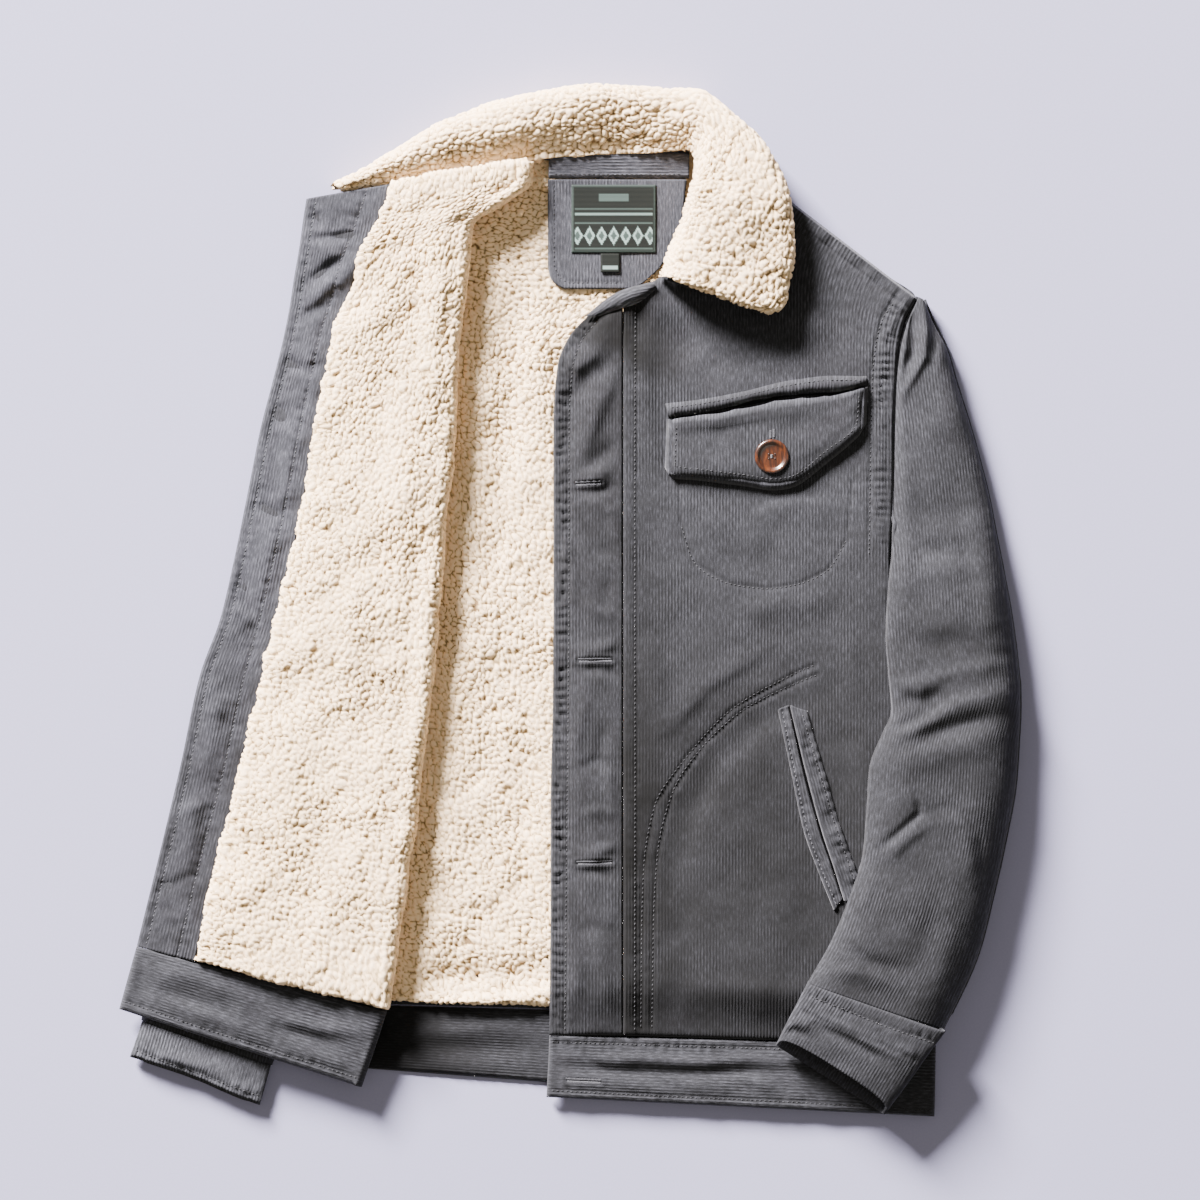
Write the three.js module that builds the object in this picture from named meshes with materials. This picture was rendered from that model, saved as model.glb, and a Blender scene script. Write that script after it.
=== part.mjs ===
// Sherpa lined corduroy jacket, laid flat on its back with the neck towards +Y.
// The wearer's left front (at +X) is closed over the back. The wearer's right front is opened
// out towards -X, so that its lining shows, and rolls round in a fold over the back lining.
// Millimetres, +Z up. Every piece is a cloth wall with its own two faces.

import * as THREE from 'three';

// Driving sizes
const GAP = 0.3;                 // air between two pieces
const SHELL_WALL = 2;            // corduroy
const SHERPA_WALL = 6.2;         // curly pile lining with its knit back
const BAND_WALL = 5;             // doubled corduroy with interlining
const SLEEVE_WALL = 8;           // corduroy with its padded lining
const LUMEN = 3.3;               // air left inside a pressed sleeve
const BACK_TOP = SHELL_WALL + GAP + SHERPA_WALL + 0.8;   // top of the back lining
const FRONT_TOP = 18.2;          // top of the closed left front
const FRONT_LINING_TOP = 15.4;
const ROLL_Z = 18.35;            // mid height of the fold of the right front
const ROLL_SHERPA = 8.75;        // outer radius of that fold
const EDGE_ROUND = 24;           // how far a full front rounds down at its side
const BUTTON_RADIUS = 12.4;
const BUTTON_HEIGHT = 4;
const CENTRE_X = 0;
const CENTRE_Y = 1.55;

const CORDUROY = { color: 0x6b6c70, roughness: 0.95, metalness: 0 };
const FACING = { color: 0x7c7d86, roughness: 0.95, metalness: 0 };
const SHERPA = { color: 0xe2d0b8, roughness: 1, metalness: 0 };
const LABEL = { color: 0x39443d, roughness: 0.85, metalness: 0 };
const BUTTON = { color: 0xa5481c, roughness: 0.3, metalness: 0 };

// Small maths
const clamp = (x, a = 0, b = 1) => Math.min(b, Math.max(a, x));
const mix = (a, b, t) => a + (b - a) * t;
const ease = (t) => { const c = clamp(t); return c * c * (3 - 2 * c); };
const round = (t) => Math.sqrt(clamp(1 - (1 - clamp(t)) ** 2, 0, 1));

function table(columns, rows) {
  return rows.map((row) => Object.fromEntries(columns.map((c, k) => [c, row[k]])));
}

// Rows spaced evenly along a table of edge points, every column worked out between two rows
function spread(rows, count) {
  const at = [0];
  for (let k = 1; k < rows.length; k += 1) {
    const a = rows[k - 1], b = rows[k];
    const left = Math.hypot(b.lx - a.lx, b.ly - a.ly), right = Math.hypot(b.rx - a.rx, b.ry - a.ry);
    at.push(at[k - 1] + (left + right) / 2);
  }
  const total = at[at.length - 1];
  const out = [];
  for (let j = 0; j <= count; j += 1) {
    const s = (total * j) / count;
    let k = 0;
    while (k + 2 < rows.length && at[k + 1] < s) k += 1;
    const t = clamp((s - at[k]) / (at[k + 1] - at[k]));
    const row = { v: j / count, length: total };
    for (const c of Object.keys(rows[0])) row[c] = mix(rows[k][c], rows[k + 1][c], t);
    out.push(row);
  }
  return out;
}

// Soft ridges (height above 0) and troughs (below 0) along short lines
function foldsAt(folds, x, y) {
  let z = 0;
  for (const f of folds) {
    const dx = f.x2 - f.x1, dy = f.y2 - f.y1, length = Math.hypot(dx, dy);
    const s = ((x - f.x1) * dx + (y - f.y1) * dy) / (length * length);
    const near = clamp(s);
    const off = Math.hypot(x - f.x1 - near * dx, y - f.y1 - near * dy);
    z += f.height * Math.exp(-((off / f.width) ** 2));
  }
  return z;
}

// Height map of what is already laid down
const CELL = 3, SPAN = 420;
const SIDE = Math.round((2 * SPAN) / CELL);
const laid = new Float32Array(SIDE * SIDE);

function stampTriangle(a, b, c) {
  const lowX = Math.floor((Math.min(a[0], b[0], c[0]) + SPAN) / CELL) - 1;
  const highX = Math.ceil((Math.max(a[0], b[0], c[0]) + SPAN) / CELL) + 1;
  const lowY = Math.floor((Math.min(a[1], b[1], c[1]) + SPAN) / CELL) - 1;
  const highY = Math.ceil((Math.max(a[1], b[1], c[1]) + SPAN) / CELL) + 1;
  const area = (b[0] - a[0]) * (c[1] - a[1]) - (c[0] - a[0]) * (b[1] - a[1]);
  if (Math.abs(area) < 1e-6) return;
  for (let iy = lowY; iy <= highY; iy += 1) {
    for (let ix = lowX; ix <= highX; ix += 1) {
      const x = ix * CELL - SPAN, y = iy * CELL - SPAN;
      const u = ((b[0] - x) * (c[1] - y) - (c[0] - x) * (b[1] - y)) / area;
      const v = ((c[0] - x) * (a[1] - y) - (a[0] - x) * (c[1] - y)) / area;
      const w = 1 - u - v;
      if (u < -0.02 || v < -0.02 || w < -0.02) continue;
      const k = iy * SIDE + ix;
      laid[k] = Math.max(laid[k], u * a[2] + v * b[2] + w * c[2]);
    }
  }
}

function laidNear(x, y, reach) {
  const n = Math.ceil(reach / CELL);
  const cx = Math.round((x + SPAN) / CELL), cy = Math.round((y + SPAN) / CELL);
  let z = 0;
  for (let iy = cy - n; iy <= cy + n; iy += 1) {
    for (let ix = cx - n; ix <= cx + n; ix += 1) {
      if (Math.hypot(ix * CELL - SPAN - x, iy * CELL - SPAN - y) > reach + CELL * 0.7) continue;
      z = Math.max(z, laid[iy * SIDE + ix] || 0);
    }
  }
  return z;
}

const group = new THREE.Group();
group.name = 'sherpa_lined_jacket';

// A cloth wall: two grids of points, face and back, joined at their edges.
// A ring closes on itself along its rows.
function wall(name, cloth, face, back, ring = false) {
  const nv = face.length - 1, nu = face[0].length - (ring ? 0 : 1);
  const wide = face[0].length;
  const points = [];
  for (const grid of [face, back]) for (const row of grid) for (const p of row) points.push(p);
  const half = face.length * wide;
  const at = (side, i, j) => side * half + j * wide + (i % wide);
  const faces = [];
  const quad = (a, b, c, d) => faces.push([a, b, c], [c, b, d]);
  for (let j = 0; j < nv; j += 1) {
    for (let i = 0; i < nu; i += 1) {
      quad(at(0, i, j), at(0, i, j + 1), at(0, i + 1, j), at(0, i + 1, j + 1));
      const [a, b, c, d] = [at(1, i, j), at(1, i, j + 1), at(1, i + 1, j), at(1, i + 1, j + 1)];
      faces.push([a, c, b], [c, d, b]);
    }
    if (!ring) {
      quad(at(1, 0, j), at(1, 0, j + 1), at(0, 0, j), at(0, 0, j + 1));
      quad(at(0, nu, j), at(0, nu, j + 1), at(1, nu, j), at(1, nu, j + 1));
    }
  }
  for (let i = 0; i < nu; i += 1) {
    quad(at(1, i, 0), at(0, i, 0), at(1, i + 1, 0), at(0, i + 1, 0));
    quad(at(0, i, nv), at(1, i, nv), at(0, i + 1, nv), at(1, i + 1, nv));
  }
  addMesh(name, cloth, points, faces);
  for (let j = 0; j < nv; j += 1) {
    for (let i = 0; i < nu; i += 1) {
      const [a, b, c, d] = [at(0, i, j), at(0, i, j + 1), at(0, i + 1, j), at(0, i + 1, j + 1)];
      stampTriangle(points[a], points[b], points[c]);
      stampTriangle(points[c], points[b], points[d]);
    }
  }
}

function addMesh(name, cloth, points, faces) {
  let volume = 0;
  for (const [a, b, c] of faces) {
    const [p, q, r] = [points[a], points[b], points[c]];
    volume += p[0] * (q[1] * r[2] - q[2] * r[1]) - p[1] * (q[0] * r[2] - q[2] * r[0])
      + p[2] * (q[0] * r[1] - q[1] * r[0]);
  }
  const geometry = new THREE.BufferGeometry();
  const flat = points.flatMap((p) => [p[0] - CENTRE_X, p[1] - CENTRE_Y, p[2]]);
  geometry.setAttribute('position', new THREE.Float32BufferAttribute(flat, 3));
  geometry.setIndex(faces.flatMap(([a, b, c]) => (volume > 0 ? [a, b, c] : [a, c, b])));
  geometry.computeVertexNormals();
  const mesh = new THREE.Mesh(geometry, new THREE.MeshStandardMaterial(cloth));
  mesh.name = name;
  group.add(mesh);
}

const steps = (n) => Array.from({ length: n + 1 }, (_, k) => k / n);

// A panel lying between a left and a right edge
function panel(name, cloth, rows, us, nv, top, bottom) {
  const face = [], back = [];
  for (const row of spread(rows, nv)) {
    const width = Math.hypot(row.rx - row.lx, row.ry - row.ly);
    const line = us.map((u) => {
      const p = { x: mix(row.lx, row.rx, u), y: mix(row.ly, row.ry, u), u, v: row.v };
      p.left = u * width;
      p.right = (1 - u) * width;
      p.above = row.v * row.length;
      p.below = (1 - row.v) * row.length;
      return p;
    });
    const high = line.map((p) => [p.x, p.y, top(p, row)]);
    face.push(high);
    back.push(line.map((p, i) => [p.x, p.y, bottom(p, high[i][2], row)]));
  }
  wall(name, cloth, face, back);
}

const EDGES = ['lx', 'ly', 'rx', 'ry'];

// Back: corduroy on the surface, with the sherpa lining on it
const BACK_ROWS = table(EDGES, [
  [-76, 309, 88, 320], [-100, 300, 120, 308], [-140, 270, 190, 262], [-165, 246, 244, 218],
  [-150, 219, 234, 197], [-135, 183, 231, 161], [-126, 147, 229, 118], [-122, 120, 228, 60],
  [-130, 60, 230, 17], [-138, 0, 244, -20], [-146, -60, 259, -78], [-160, -177, 261, -190],
  [-178, -288, 262, -300],
]);
panel('back_shell', CORDUROY, BACK_ROWS, steps(6), 12, () => SHELL_WALL, () => 0);
const LINING_ROWS = BACK_ROWS.map((r) => ({
  lx: r.lx + 3, ly: r.ly + (r.ly > 300 ? -5 : 2), rx: r.rx - 18, ry: r.ry + (r.ry > 300 ? -5 : 2),
}));
panel('back_lining', SHERPA, LINING_ROWS, steps(10), 14, () => BACK_TOP,
  () => SHELL_WALL + GAP);

const BACK_BAND_ROWS = table(EDGES, [
  [-178, -289, 263, -301], [-181, -310, 263, -334], [-184, -333, 263, -367],
]);
panel('waistband_back', CORDUROY, BACK_BAND_ROWS, steps(8), 2, () => 3.4, () => 0);

// Left front: sherpa lining, corduroy, front band and waistband
const LEFT_FRONT_ROWS = table(EDGES, [
  [104, 333, 124, 319], [95, 309, 190, 269], [87, 284, 249, 222], [78, 257, 241, 205],
  [64, 235, 236, 182], [38.4, 221, 234, 158], [38.4, 205, 233, 130], [38.4, 186, 232.4, 98],
  [38.4, 150, 232, 70], [38.4, 95, 231, 34], [38.4, 30, 233, 10], [38.4, -26, 250, -20],
  [38.4, -69, 263, -70], [38.4, -141, 263, -147], [38.4, -213, 263, -219],
  [38.4, -311.2, 264, -318.2],
]);
const FRONT_LINING_ROWS = table(EDGES, [
  [115, 290, 150, 272], [108, 262, 215, 214], [80, 236, 209, 190], [50, 210, 206, 150],
  [42, 180, 205, 110], [42, 120, 205, 60], [42, 30, 205, 0], [42, -69, 232, -72],
  [42, -213, 234, -219], [42, -282, 234, -286],
]);
panel('front_left_lining', SHERPA, FRONT_LINING_ROWS, steps(6), 12,
  () => FRONT_LINING_TOP, () => BACK_TOP + GAP);

const FRONT_FOLDS = table(['x1', 'y1', 'x2', 'y2', 'height', 'width'], [
  [60, -95, 100, -60, 0.9, 22], [205, -120, 214, -170, 1.6, 16], [130, -205, 150, -290, 1.2, 26],
  [75, -60, 78, -270, -0.8, 20], [85, 60, 150, 40, 0.7, 20], [60, 190, 66, 120, 0.8, 12],
  [222, 150, 226, 70, 1.2, 8], [110, 170, 180, 178, -0.7, 14],
]);
function leftFrontTop(p) {
  const armhole = p.y > 36;
  const foot = armhole ? FRONT_TOP - 2.5 : 6;
  const side = mix(foot, FRONT_TOP, round(p.right / (armhole ? 9 : EDGE_ROUND)));
  const hem = mix(9.2, FRONT_TOP, round(p.below / EDGE_ROUND));
  const shoulder = p.y > 215 ? mix(5.4, FRONT_TOP, round(shoulderDistance(p) / 18)) : FRONT_TOP;
  const neck = p.y > 223 ? mix(14.5, FRONT_TOP, round(p.left / 9)) : FRONT_TOP;
  const low = Math.min(side, hem, shoulder, neck);
  const inside = clamp(Math.min(p.right, p.below, p.left + 8) / 26);
  return low + foldsAt(FRONT_FOLDS, p.x, p.y) * inside;
}
function shoulderDistance(p) {
  const dx = 145, dy = -111, length = Math.hypot(dx, dy);
  return Math.abs(((p.x - 104) * dy - (p.y - 333) * dx) / length);
}
const FRONT_US = [0, 0.05, 0.14, 0.25, 0.37, 0.5, 0.62, 0.73, 0.82, 0.885, 0.93, 0.968, 1];
panel('front_left_shell', CORDUROY, LEFT_FRONT_ROWS, FRONT_US, 24,
  leftFrontTop, (p, z) => (p.right > 25 && p.below > 28 && p.y < 270
    ? Math.max(z - 2.2, FRONT_LINING_TOP + GAP) : z - 2.2));

const PLACKET_ROWS = table(EDGES, [
  [13, 208, 37.9, 220], [-1, 192, 37.9, 205], [-9, 172, 37.9, 186], [-12, 132, 38, 150],
  [-12, 75, 38, 95], [-12, 17, 38, 30], [-12, -69, 38, -69], [-14, -141, 38, -141],
  [-14, -213, 38, -213], [-15, -311, 38, -311.2],
]);
const PLACKET_FOLDS = table(['x1', 'y1', 'x2', 'y2', 'height', 'width'], [
  [18, 182, 3, 168, 1.6, 9], [28, 174, 2, 150, -1.2, 8], [32, 165, 6, 104, 1.3, 8],
  [16, 88, 36, 92, 0.9, 6], [20, -41, 36, -36, 0.9, 6], [20, -187, 36, -180, 0.9, 6],
  [-4, 30, 0, -20, 0.7, 8], [10, -100, 14, -150, 0.6, 9], [0, -230, 4, -280, 0.7, 9],
]);
function placketTop(p) {
  const across = mix(14.4, FRONT_TOP + 0.5, ease(p.left / 34)) - 0.9 * (p.right < 1 ? 1 : 0);
  const hem = mix(9.4, 30, round(p.below / EDGE_ROUND));
  const top = mix(14, 30, round(p.above / 14));
  const inside = clamp(Math.min(p.left + 3, p.right + 3, p.below) / 14);
  return Math.min(across, hem, top) + foldsAt(PLACKET_FOLDS, p.x, p.y) * inside;
}
panel('placket_left', CORDUROY, PLACKET_ROWS, [0, 0.12, 0.36, 0.62, 0.85, 1], 26, placketTop,
  (p, z) => Math.max(BACK_TOP + GAP, z - 5.2) - (p.below < 10 ? 3.6 : 0));

const LEFT_BAND_ROWS = table(EDGES, [
  [-15, -311.7, 264, -319.2], [-15.5, -326, 263.8, -335], [-16.3, -341, 263.5, -352],
  [-17, -356, 263, -370],
]);
const LEFT_BAND_FOLDS = table(['x1', 'y1', 'x2', 'y2', 'height', 'width'], [
  [0, -327, 60, -329, 0.9, 5], [60, -329, 165, -328, 0.8, 6], [170, -345, 250, -350, 0.7, 7],
  [20, -344, 90, -347, 0.7, 6],
]);
panel('waistband_left', CORDUROY, LEFT_BAND_ROWS, steps(14), 4,
  (p) => mix(7.2, 9, round(Math.min(p.left, p.below, p.right) / 5))
    + foldsAt(LEFT_BAND_FOLDS, p.x, p.y),
  (p, z) => Math.max(3.4 + GAP, z - BAND_WALL));

// What lies on a panel is made from the height of the panel, moved out
function onTop(name, cloth, rows, us, nv, thick, reach, shape = () => 0) {
  panel(name, cloth, rows, us, nv,
    (p) => laidNear(p.x, p.y, reach) + GAP + thick + shape(p),
    (p) => laidNear(p.x, p.y, reach) + GAP);
}

const BINDING_ROWS = table(EDGES, [
  [12, 207, 21, 208], [26, 218.5, 35, 212.5], [38, 225.5, 49, 217], [60, 231, 62, 227.5],
]);
onTop('neckline_binding', CORDUROY, BINDING_ROWS, [0, 1], 5, 1.2, 9);

// Chest pocket with its flap and button
const WELT_ROWS = table(EDGES, [
  [68.5, 143, 71, 135], [94, 146.5, 96, 137.5], [122, 151.5, 124, 144], [158, 160, 160, 149],
  [190, 163.5, 190, 151.5], [213, 163, 213, 157.5],
]);
onTop('chest_pocket_welt', CORDUROY, WELT_ROWS, [0, 0.5, 1], 8, 1.8, 9);
const FLAP_ROWS = table(EDGES, [
  [71.5, 133.5, 70, 94], [94, 136, 94, 90], [124, 142.5, 126, 86.5], [145, 146, 146, 83.5],
  [160, 147.5, 156, 84.5], [190, 150, 186, 104], [213, 156, 211.5, 127],
]);
onTop('chest_pocket_flap', CORDUROY, FLAP_ROWS, [0, 0.25, 0.5, 0.75, 1], 10, 2.4, 10,
  (p) => 0.8 * ease(Math.min(p.left, p.right) / 12));
const buttonZ = laidNear(145, 106, BUTTON_RADIUS + 2) + GAP;
{
  const profile = [
    [0, 0], [10.4, 0], [12, 1.1], [BUTTON_RADIUS, 2.4], [11.6, 3.6], [10.6, BUTTON_HEIGHT],
    [9.4, 3.5], [8.4, 2.7], [4, 2.5], [0, 2.5],
  ];
  const lathe = new THREE.LatheGeometry(profile.map(([r, z]) => new THREE.Vector2(r, z)), 28);
  const points = [], faces = [], index = new Map();
  const position = lathe.attributes.position;
  const unique = [];
  for (let k = 0; k < position.count; k += 1) {
    const p = [position.getX(k) + 145, position.getZ(k) + 106, position.getY(k) + buttonZ];
    const key = p.map((c) => c.toFixed(3)).join();
    if (!index.has(key)) { index.set(key, points.length); points.push(p); }
    unique.push(index.get(key));
  }
  for (let k = 0; k < lathe.index.count; k += 3) {
    const f = [0, 1, 2].map((n) => unique[lathe.index.getX(k + n)]);
    if (new Set(f).size === 3) faces.push(f);
  }
  addMesh('chest_button', BUTTON, points, faces);
}

// Hand pocket: two strips along the slit
const POCKET_INNER_ROWS = table(EDGES, [
  [149.5, -76, 156.5, -73], [159, -121, 167, -118], [168, -163, 179, -162], [178, -191, 188, -190],
  [190, -221, 195.5, -212],
]);
const POCKET_OUTER_ROWS = table(EDGES, [
  [158.5, -73, 171, -77], [169.2, -118, 184, -122], [181, -162, 196, -163], [190, -190, 206, -190],
  [197.5, -214, 213, -214],
]);
onTop('hand_pocket_inner_strip', CORDUROY, POCKET_INNER_ROWS, [0, 0.5, 1], 10, 1.6, 9);
onTop('hand_pocket_outer_strip', CORDUROY, POCKET_OUTER_ROWS, [0, 0.5, 1], 10, 2, 9,
  (p) => 0.5 * Math.sin(p.v * 34));

// Neck: corduroy patch on the back lining, tape, woven label and size tab
const PATCH_ROWS = table(EDGES, [
  [-16, 306, 84, 306], [-16, 270, 80, 270], [-16, 244, 66, 244], [-13, 234, 55, 234],
  [-4, 227, 40, 227],
]);
panel('neck_patch', CORDUROY, PATCH_ROWS, steps(5), 6,
  (p) => BACK_TOP + GAP + mix(1, SHELL_WALL, clamp(Math.min(p.left, p.below) / 4)),
  () => BACK_TOP + GAP);
const TAPE_ROWS = table(EDGES, [[-15, 315.5, 84, 314.5], [-15.5, 306.6, 84, 306.6]]);
panel('neck_tape', CORDUROY, TAPE_ROWS, steps(5), 2, () => BACK_TOP + GAP + 2.3,
  () => BACK_TOP + GAP);
const labelZ = BACK_TOP + GAP + SHELL_WALL + GAP;
const LABEL_ROWS = table(EDGES, [[1, 302, 62, 302], [1, 253, 62, 253]]);
panel('label_main', LABEL, LABEL_ROWS, steps(4), 3, () => labelZ + 0.8, () => labelZ);
const TAB_ROWS = table(EDGES, [[22, 252.4, 36, 252.4], [22, 239, 36, 239]]);
panel('label_tab', LABEL, TAB_ROWS, steps(2), 1, () => labelZ + 0.8, () => labelZ);

// Right sleeve, pressed flat on the surface under the opened front
const SLEEVE_COLUMNS = ['lx', 'ly', 'rx', 'ry', 'crown'];
const RIGHT_SLEEVE_ROWS = table(SLEEVE_COLUMNS, [
  [-178, 234, -167, 236, 7], [-193, 205, -154, 208, 9], [-203, 170, -139, 176, 10],
  [-211, 140, -130, 147, 10.5], [-218, 110, -126, 116, 10.5], [-232, 50, -134.5, 55, 10.5],
  [-243, 0, -142.5, 2, 10.5], [-261, -62, -151, -62, 10.5], [-281, -140, -160, -142, 10.5],
  [-290, -177, -166, -180, 10.5], [-302, -233, -184, -240, 10.5], [-309, -300.8, -216, -332.8, 10.5],
]);
function sleeveWalls(name, rows, us, nv, lift, wallThick, base) {
  const top = [[], []], under = [[], []];
  for (const row of spread(rows, nv)) {
    const line = us.map((u) => {
      const x = mix(row.lx, row.rx, u), y = mix(row.ly, row.ry, u);
      const low = base(x, y, row, u);
      const high = Math.max(lift(x, y, row, u), low + 6);
      const across = round(Math.min(u, 1 - u) * 9);
      const air = clamp(high - low - 2 * wallThick, GAP, LUMEN) * across + GAP * (1 - across);
      const middle = (low + high) / 2;
      return { x, y, low, high, cut: Math.max(air, GAP) / 2, middle };
    });
    top[0].push(line.map((p) => [p.x, p.y, p.high]));
    top[1].push(line.map((p) => [p.x, p.y, p.middle + p.cut]));
    under[0].push(line.map((p) => [p.x, p.y, p.middle - p.cut]));
    under[1].push(line.map((p) => [p.x, p.y, p.low]));
  }
  wall(`${name}_under`, CORDUROY, under[0], under[1]);
  wall(`${name}_top`, CORDUROY, top[0], top[1]);
}
sleeveWalls('sleeve_right', RIGHT_SLEEVE_ROWS, [0, 0.1, 0.3, 0.5, 0.7, 0.9, 1], 12,
  (x, y, row, u) => mix(5.6, row.crown, round(Math.min(u, 1 - u) * 6)), 4.9,
  (x, y, row, u) => (Math.min(u, 1 - u) < 0.02 ? 1.2 : 0));

// Rings for the cuffs: rows across the cuff, each a flattened loop
function cuff(name, rows, nv, around, thick) {
  const face = [], back = [];
  for (const row of spread(rows, nv)) {
    const outer = [], inner = [];
    for (let k = 0; k < around; k += 1) {
      const a = Math.PI - (2 * Math.PI * k) / around;
      const c = Math.cos(a), s = Math.sin(a);
      const u = 0.5 + 0.5 * Math.sign(c) * Math.abs(c) ** 0.8;
      const mid = (row.low + row.high) / 2, half = (row.high - row.low) / 2;
      const lip = s > 0 ? row.lip : 0;
      const wide = Math.hypot(row.rx - row.lx, row.ry - row.ly);
      const ax = -(row.ry - row.ly) / wide, ay = (row.rx - row.lx) / wide;
      const edge = Math.sign(s) * Math.abs(s) ** 0.55;
      const tilt = row.tilt * (0.5 - u);
      const shrink = 1 - (2 * thick) / wide;
      const v = 0.5 + (u - 0.5) * shrink;
      const hollow = Math.max(half - thick, row.air / 2);
      outer.push([mix(row.lx, row.rx, u) + ax * lip * edge, mix(row.ly, row.ry, u) + ay * lip * edge,
        mid + tilt + half * edge]);
      inner.push([mix(row.lx, row.rx, v) + ax * lip * edge, mix(row.ly, row.ry, v) + ay * lip * edge,
        mid + tilt + hollow * edge]);
    }
    face.push(outer);
    back.push(inner);
  }
  wall(name, CORDUROY, face, back, true);
}
const CUFF_COLUMNS = ['lx', 'ly', 'rx', 'ry', 'low', 'high', 'lip', 'air', 'tilt'];
cuff('cuff_right', table(CUFF_COLUMNS, [
  [-309.1, -301.15, -216.1, -333.15, 0, 10.6, 0, 1.4, 0], [-313.5, -314.5, -220, -347.5, 0, 11, 1, 1.6, 0],
  [-318, -327, -224, -362, 0, 10.6, 3, 2, 0],
]), 2, 20, 4.4);

// Right front: corduroy and sherpa lining, opened out and rolled at its inner edge
const RIGHT_FRONT_ROWS = table([...EDGES, 'facing', 'hidden'], [
  [-190, 292, -26, 318, 64, 14], [-192, 280, -27, 305, 61, 18], [-195, 258, -50, 287, 55, 26],
  [-199, 235, -70, 272, 50, 34], [-202, 215, -71, 256, 48, 40], [-207, 190, -74, 226, 42, 44],
  [-215, 158, -78, 194, 43, 42], [-223, 127, -80, 158, 44, 36], [-232, 82, -84, 107, 44, 34],
  [-242, 33, -89, 50, 43, 36], [-252, -10, -94, -1, 42, 38], [-267, -52, -99, -62, 46, 42],
  [-281, -117, -107, -123, 46, 42], [-295, -176, -114, -184, 44, 42],
  [-309, -233, -124, -249, 44, 42], [-312, -245.6, -131, -291.4, 44, 42],
]);
const RIGHT_FRONT_FOLDS = table(['x1', 'y1', 'x2', 'y2', 'height', 'width'], [
  [-85, 285, -95, 200, 2.2, 16], [-140, 240, -150, 170, -1.6, 14], [-110, 120, -128, 0, 1.8, 24],
  [-160, 60, -190, -60, 1.4, 26], [-150, -120, -165, -220, 1.8, 24], [-220, -150, -240, -230, 1.2, 22],
  [-130, -40, -150, -120, -1.3, 20], [-200, -20, -215, -90, -1, 18],
]);
const rightLift = (x, y) => foldsAt(RIGHT_FRONT_FOLDS, x, y);
// Underside of the opened leg, lower towards its free edge
function legBottom(x, y, out) {
  return 9.4 + (ROLL_Z + 0.25 - 9.4) * Math.sin((Math.PI / 2) * clamp(out / 80))
    + Math.max(-0.2, rightLift(x, y)) * clamp(out / 30);
}
// Stations across the open leg: three over the facing, the others up to the fold
const legStations = (row, turn) => [0, 1 / 3, 2 / 3].map((t) => t * row.facing)
  .concat([0, 1, 2, 3, 4, 5, 6, 7].map((k) => mix(row.facing, turn, k / 7)));
// Points along one row: the open leg, the round of the fold, and the hidden leg under it
function rolledRow(row, first, outer, inner) {
  const width = Math.hypot(row.rx - row.lx, row.ry - row.ly);
  const dx = (row.rx - row.lx) / width, dy = (row.ry - row.ly) / width;
  const turn = width - ROLL_SHERPA;
  const face = [], back = [];
  const put = (list, s, z) => list.push([row.lx + dx * s, row.ly + dy * s, z]);
  legStations(row, turn).slice(first).forEach((station, k) => {
    const s = station + (first > 0 && k === 0 ? 0.6 : 0);
    const low = legHeight(row, station, turn, dx, dy);
    put(face, s, low + outer - 0.25);
    put(back, s, low + inner - 0.25);
  });
  for (const angle of [58, 20, -20, -58]) {
    const a = (angle * Math.PI) / 180;
    put(face, turn + outer * Math.cos(a), ROLL_Z + outer * Math.sin(a));
    put(back, turn + inner * Math.cos(a), ROLL_Z + inner * Math.sin(a));
  }
  for (let k = 0; k <= 2; k += 1) {
    const s = turn - ((row.hidden - ROLL_SHERPA) * k) / 2;
    put(face, s, ROLL_Z - outer);
    put(back, s, ROLL_Z - inner);
  }
  return [face, back];
}
function legHeight(row, s, turn, dx, dy) {
  const near = ease((s - turn + 24) / 24);
  return mix(legBottom(row.lx + dx * s, row.ly + dy * s, s), ROLL_Z + 0.25, near);
}
const RIGHT_FRONT_STEPS = 20;
function rolled(name, cloth, first, outer, inner) {
  const rows = spread(RIGHT_FRONT_ROWS, RIGHT_FRONT_STEPS).map((r) => rolledRow(r, first, outer, inner));
  wall(name, cloth, rows.map((r) => r[0]), rows.map((r) => r[1]));
}
rolled('front_right_shell', CORDUROY, 0, 2.25, 0.25);
rolled('front_right_lining', SHERPA, 3, ROLL_SHERPA, ROLL_SHERPA - SHERPA_WALL);
{
  const face = [], back = [];
  for (const row of spread(RIGHT_FRONT_ROWS, RIGHT_FRONT_STEPS)) {
    const width = Math.hypot(row.rx - row.lx, row.ry - row.ly);
    const dx = (row.rx - row.lx) / width, dy = (row.ry - row.ly) / width;
    const stations = legStations(row, width - ROLL_SHERPA).slice(0, 4);
    const points = (up) => stations.map((s, k) => [row.lx + dx * s, row.ly + dy * s,
      legHeight(row, s, width - ROLL_SHERPA, dx, dy) + up + (k % 3 || up < 3 ? 0 : -0.5)]);
    back.push(points(SHELL_WALL + GAP));
    face.push(points(SHELL_WALL + GAP + 2));
  }
  wall('facing_right', FACING, face, back);
}

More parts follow.
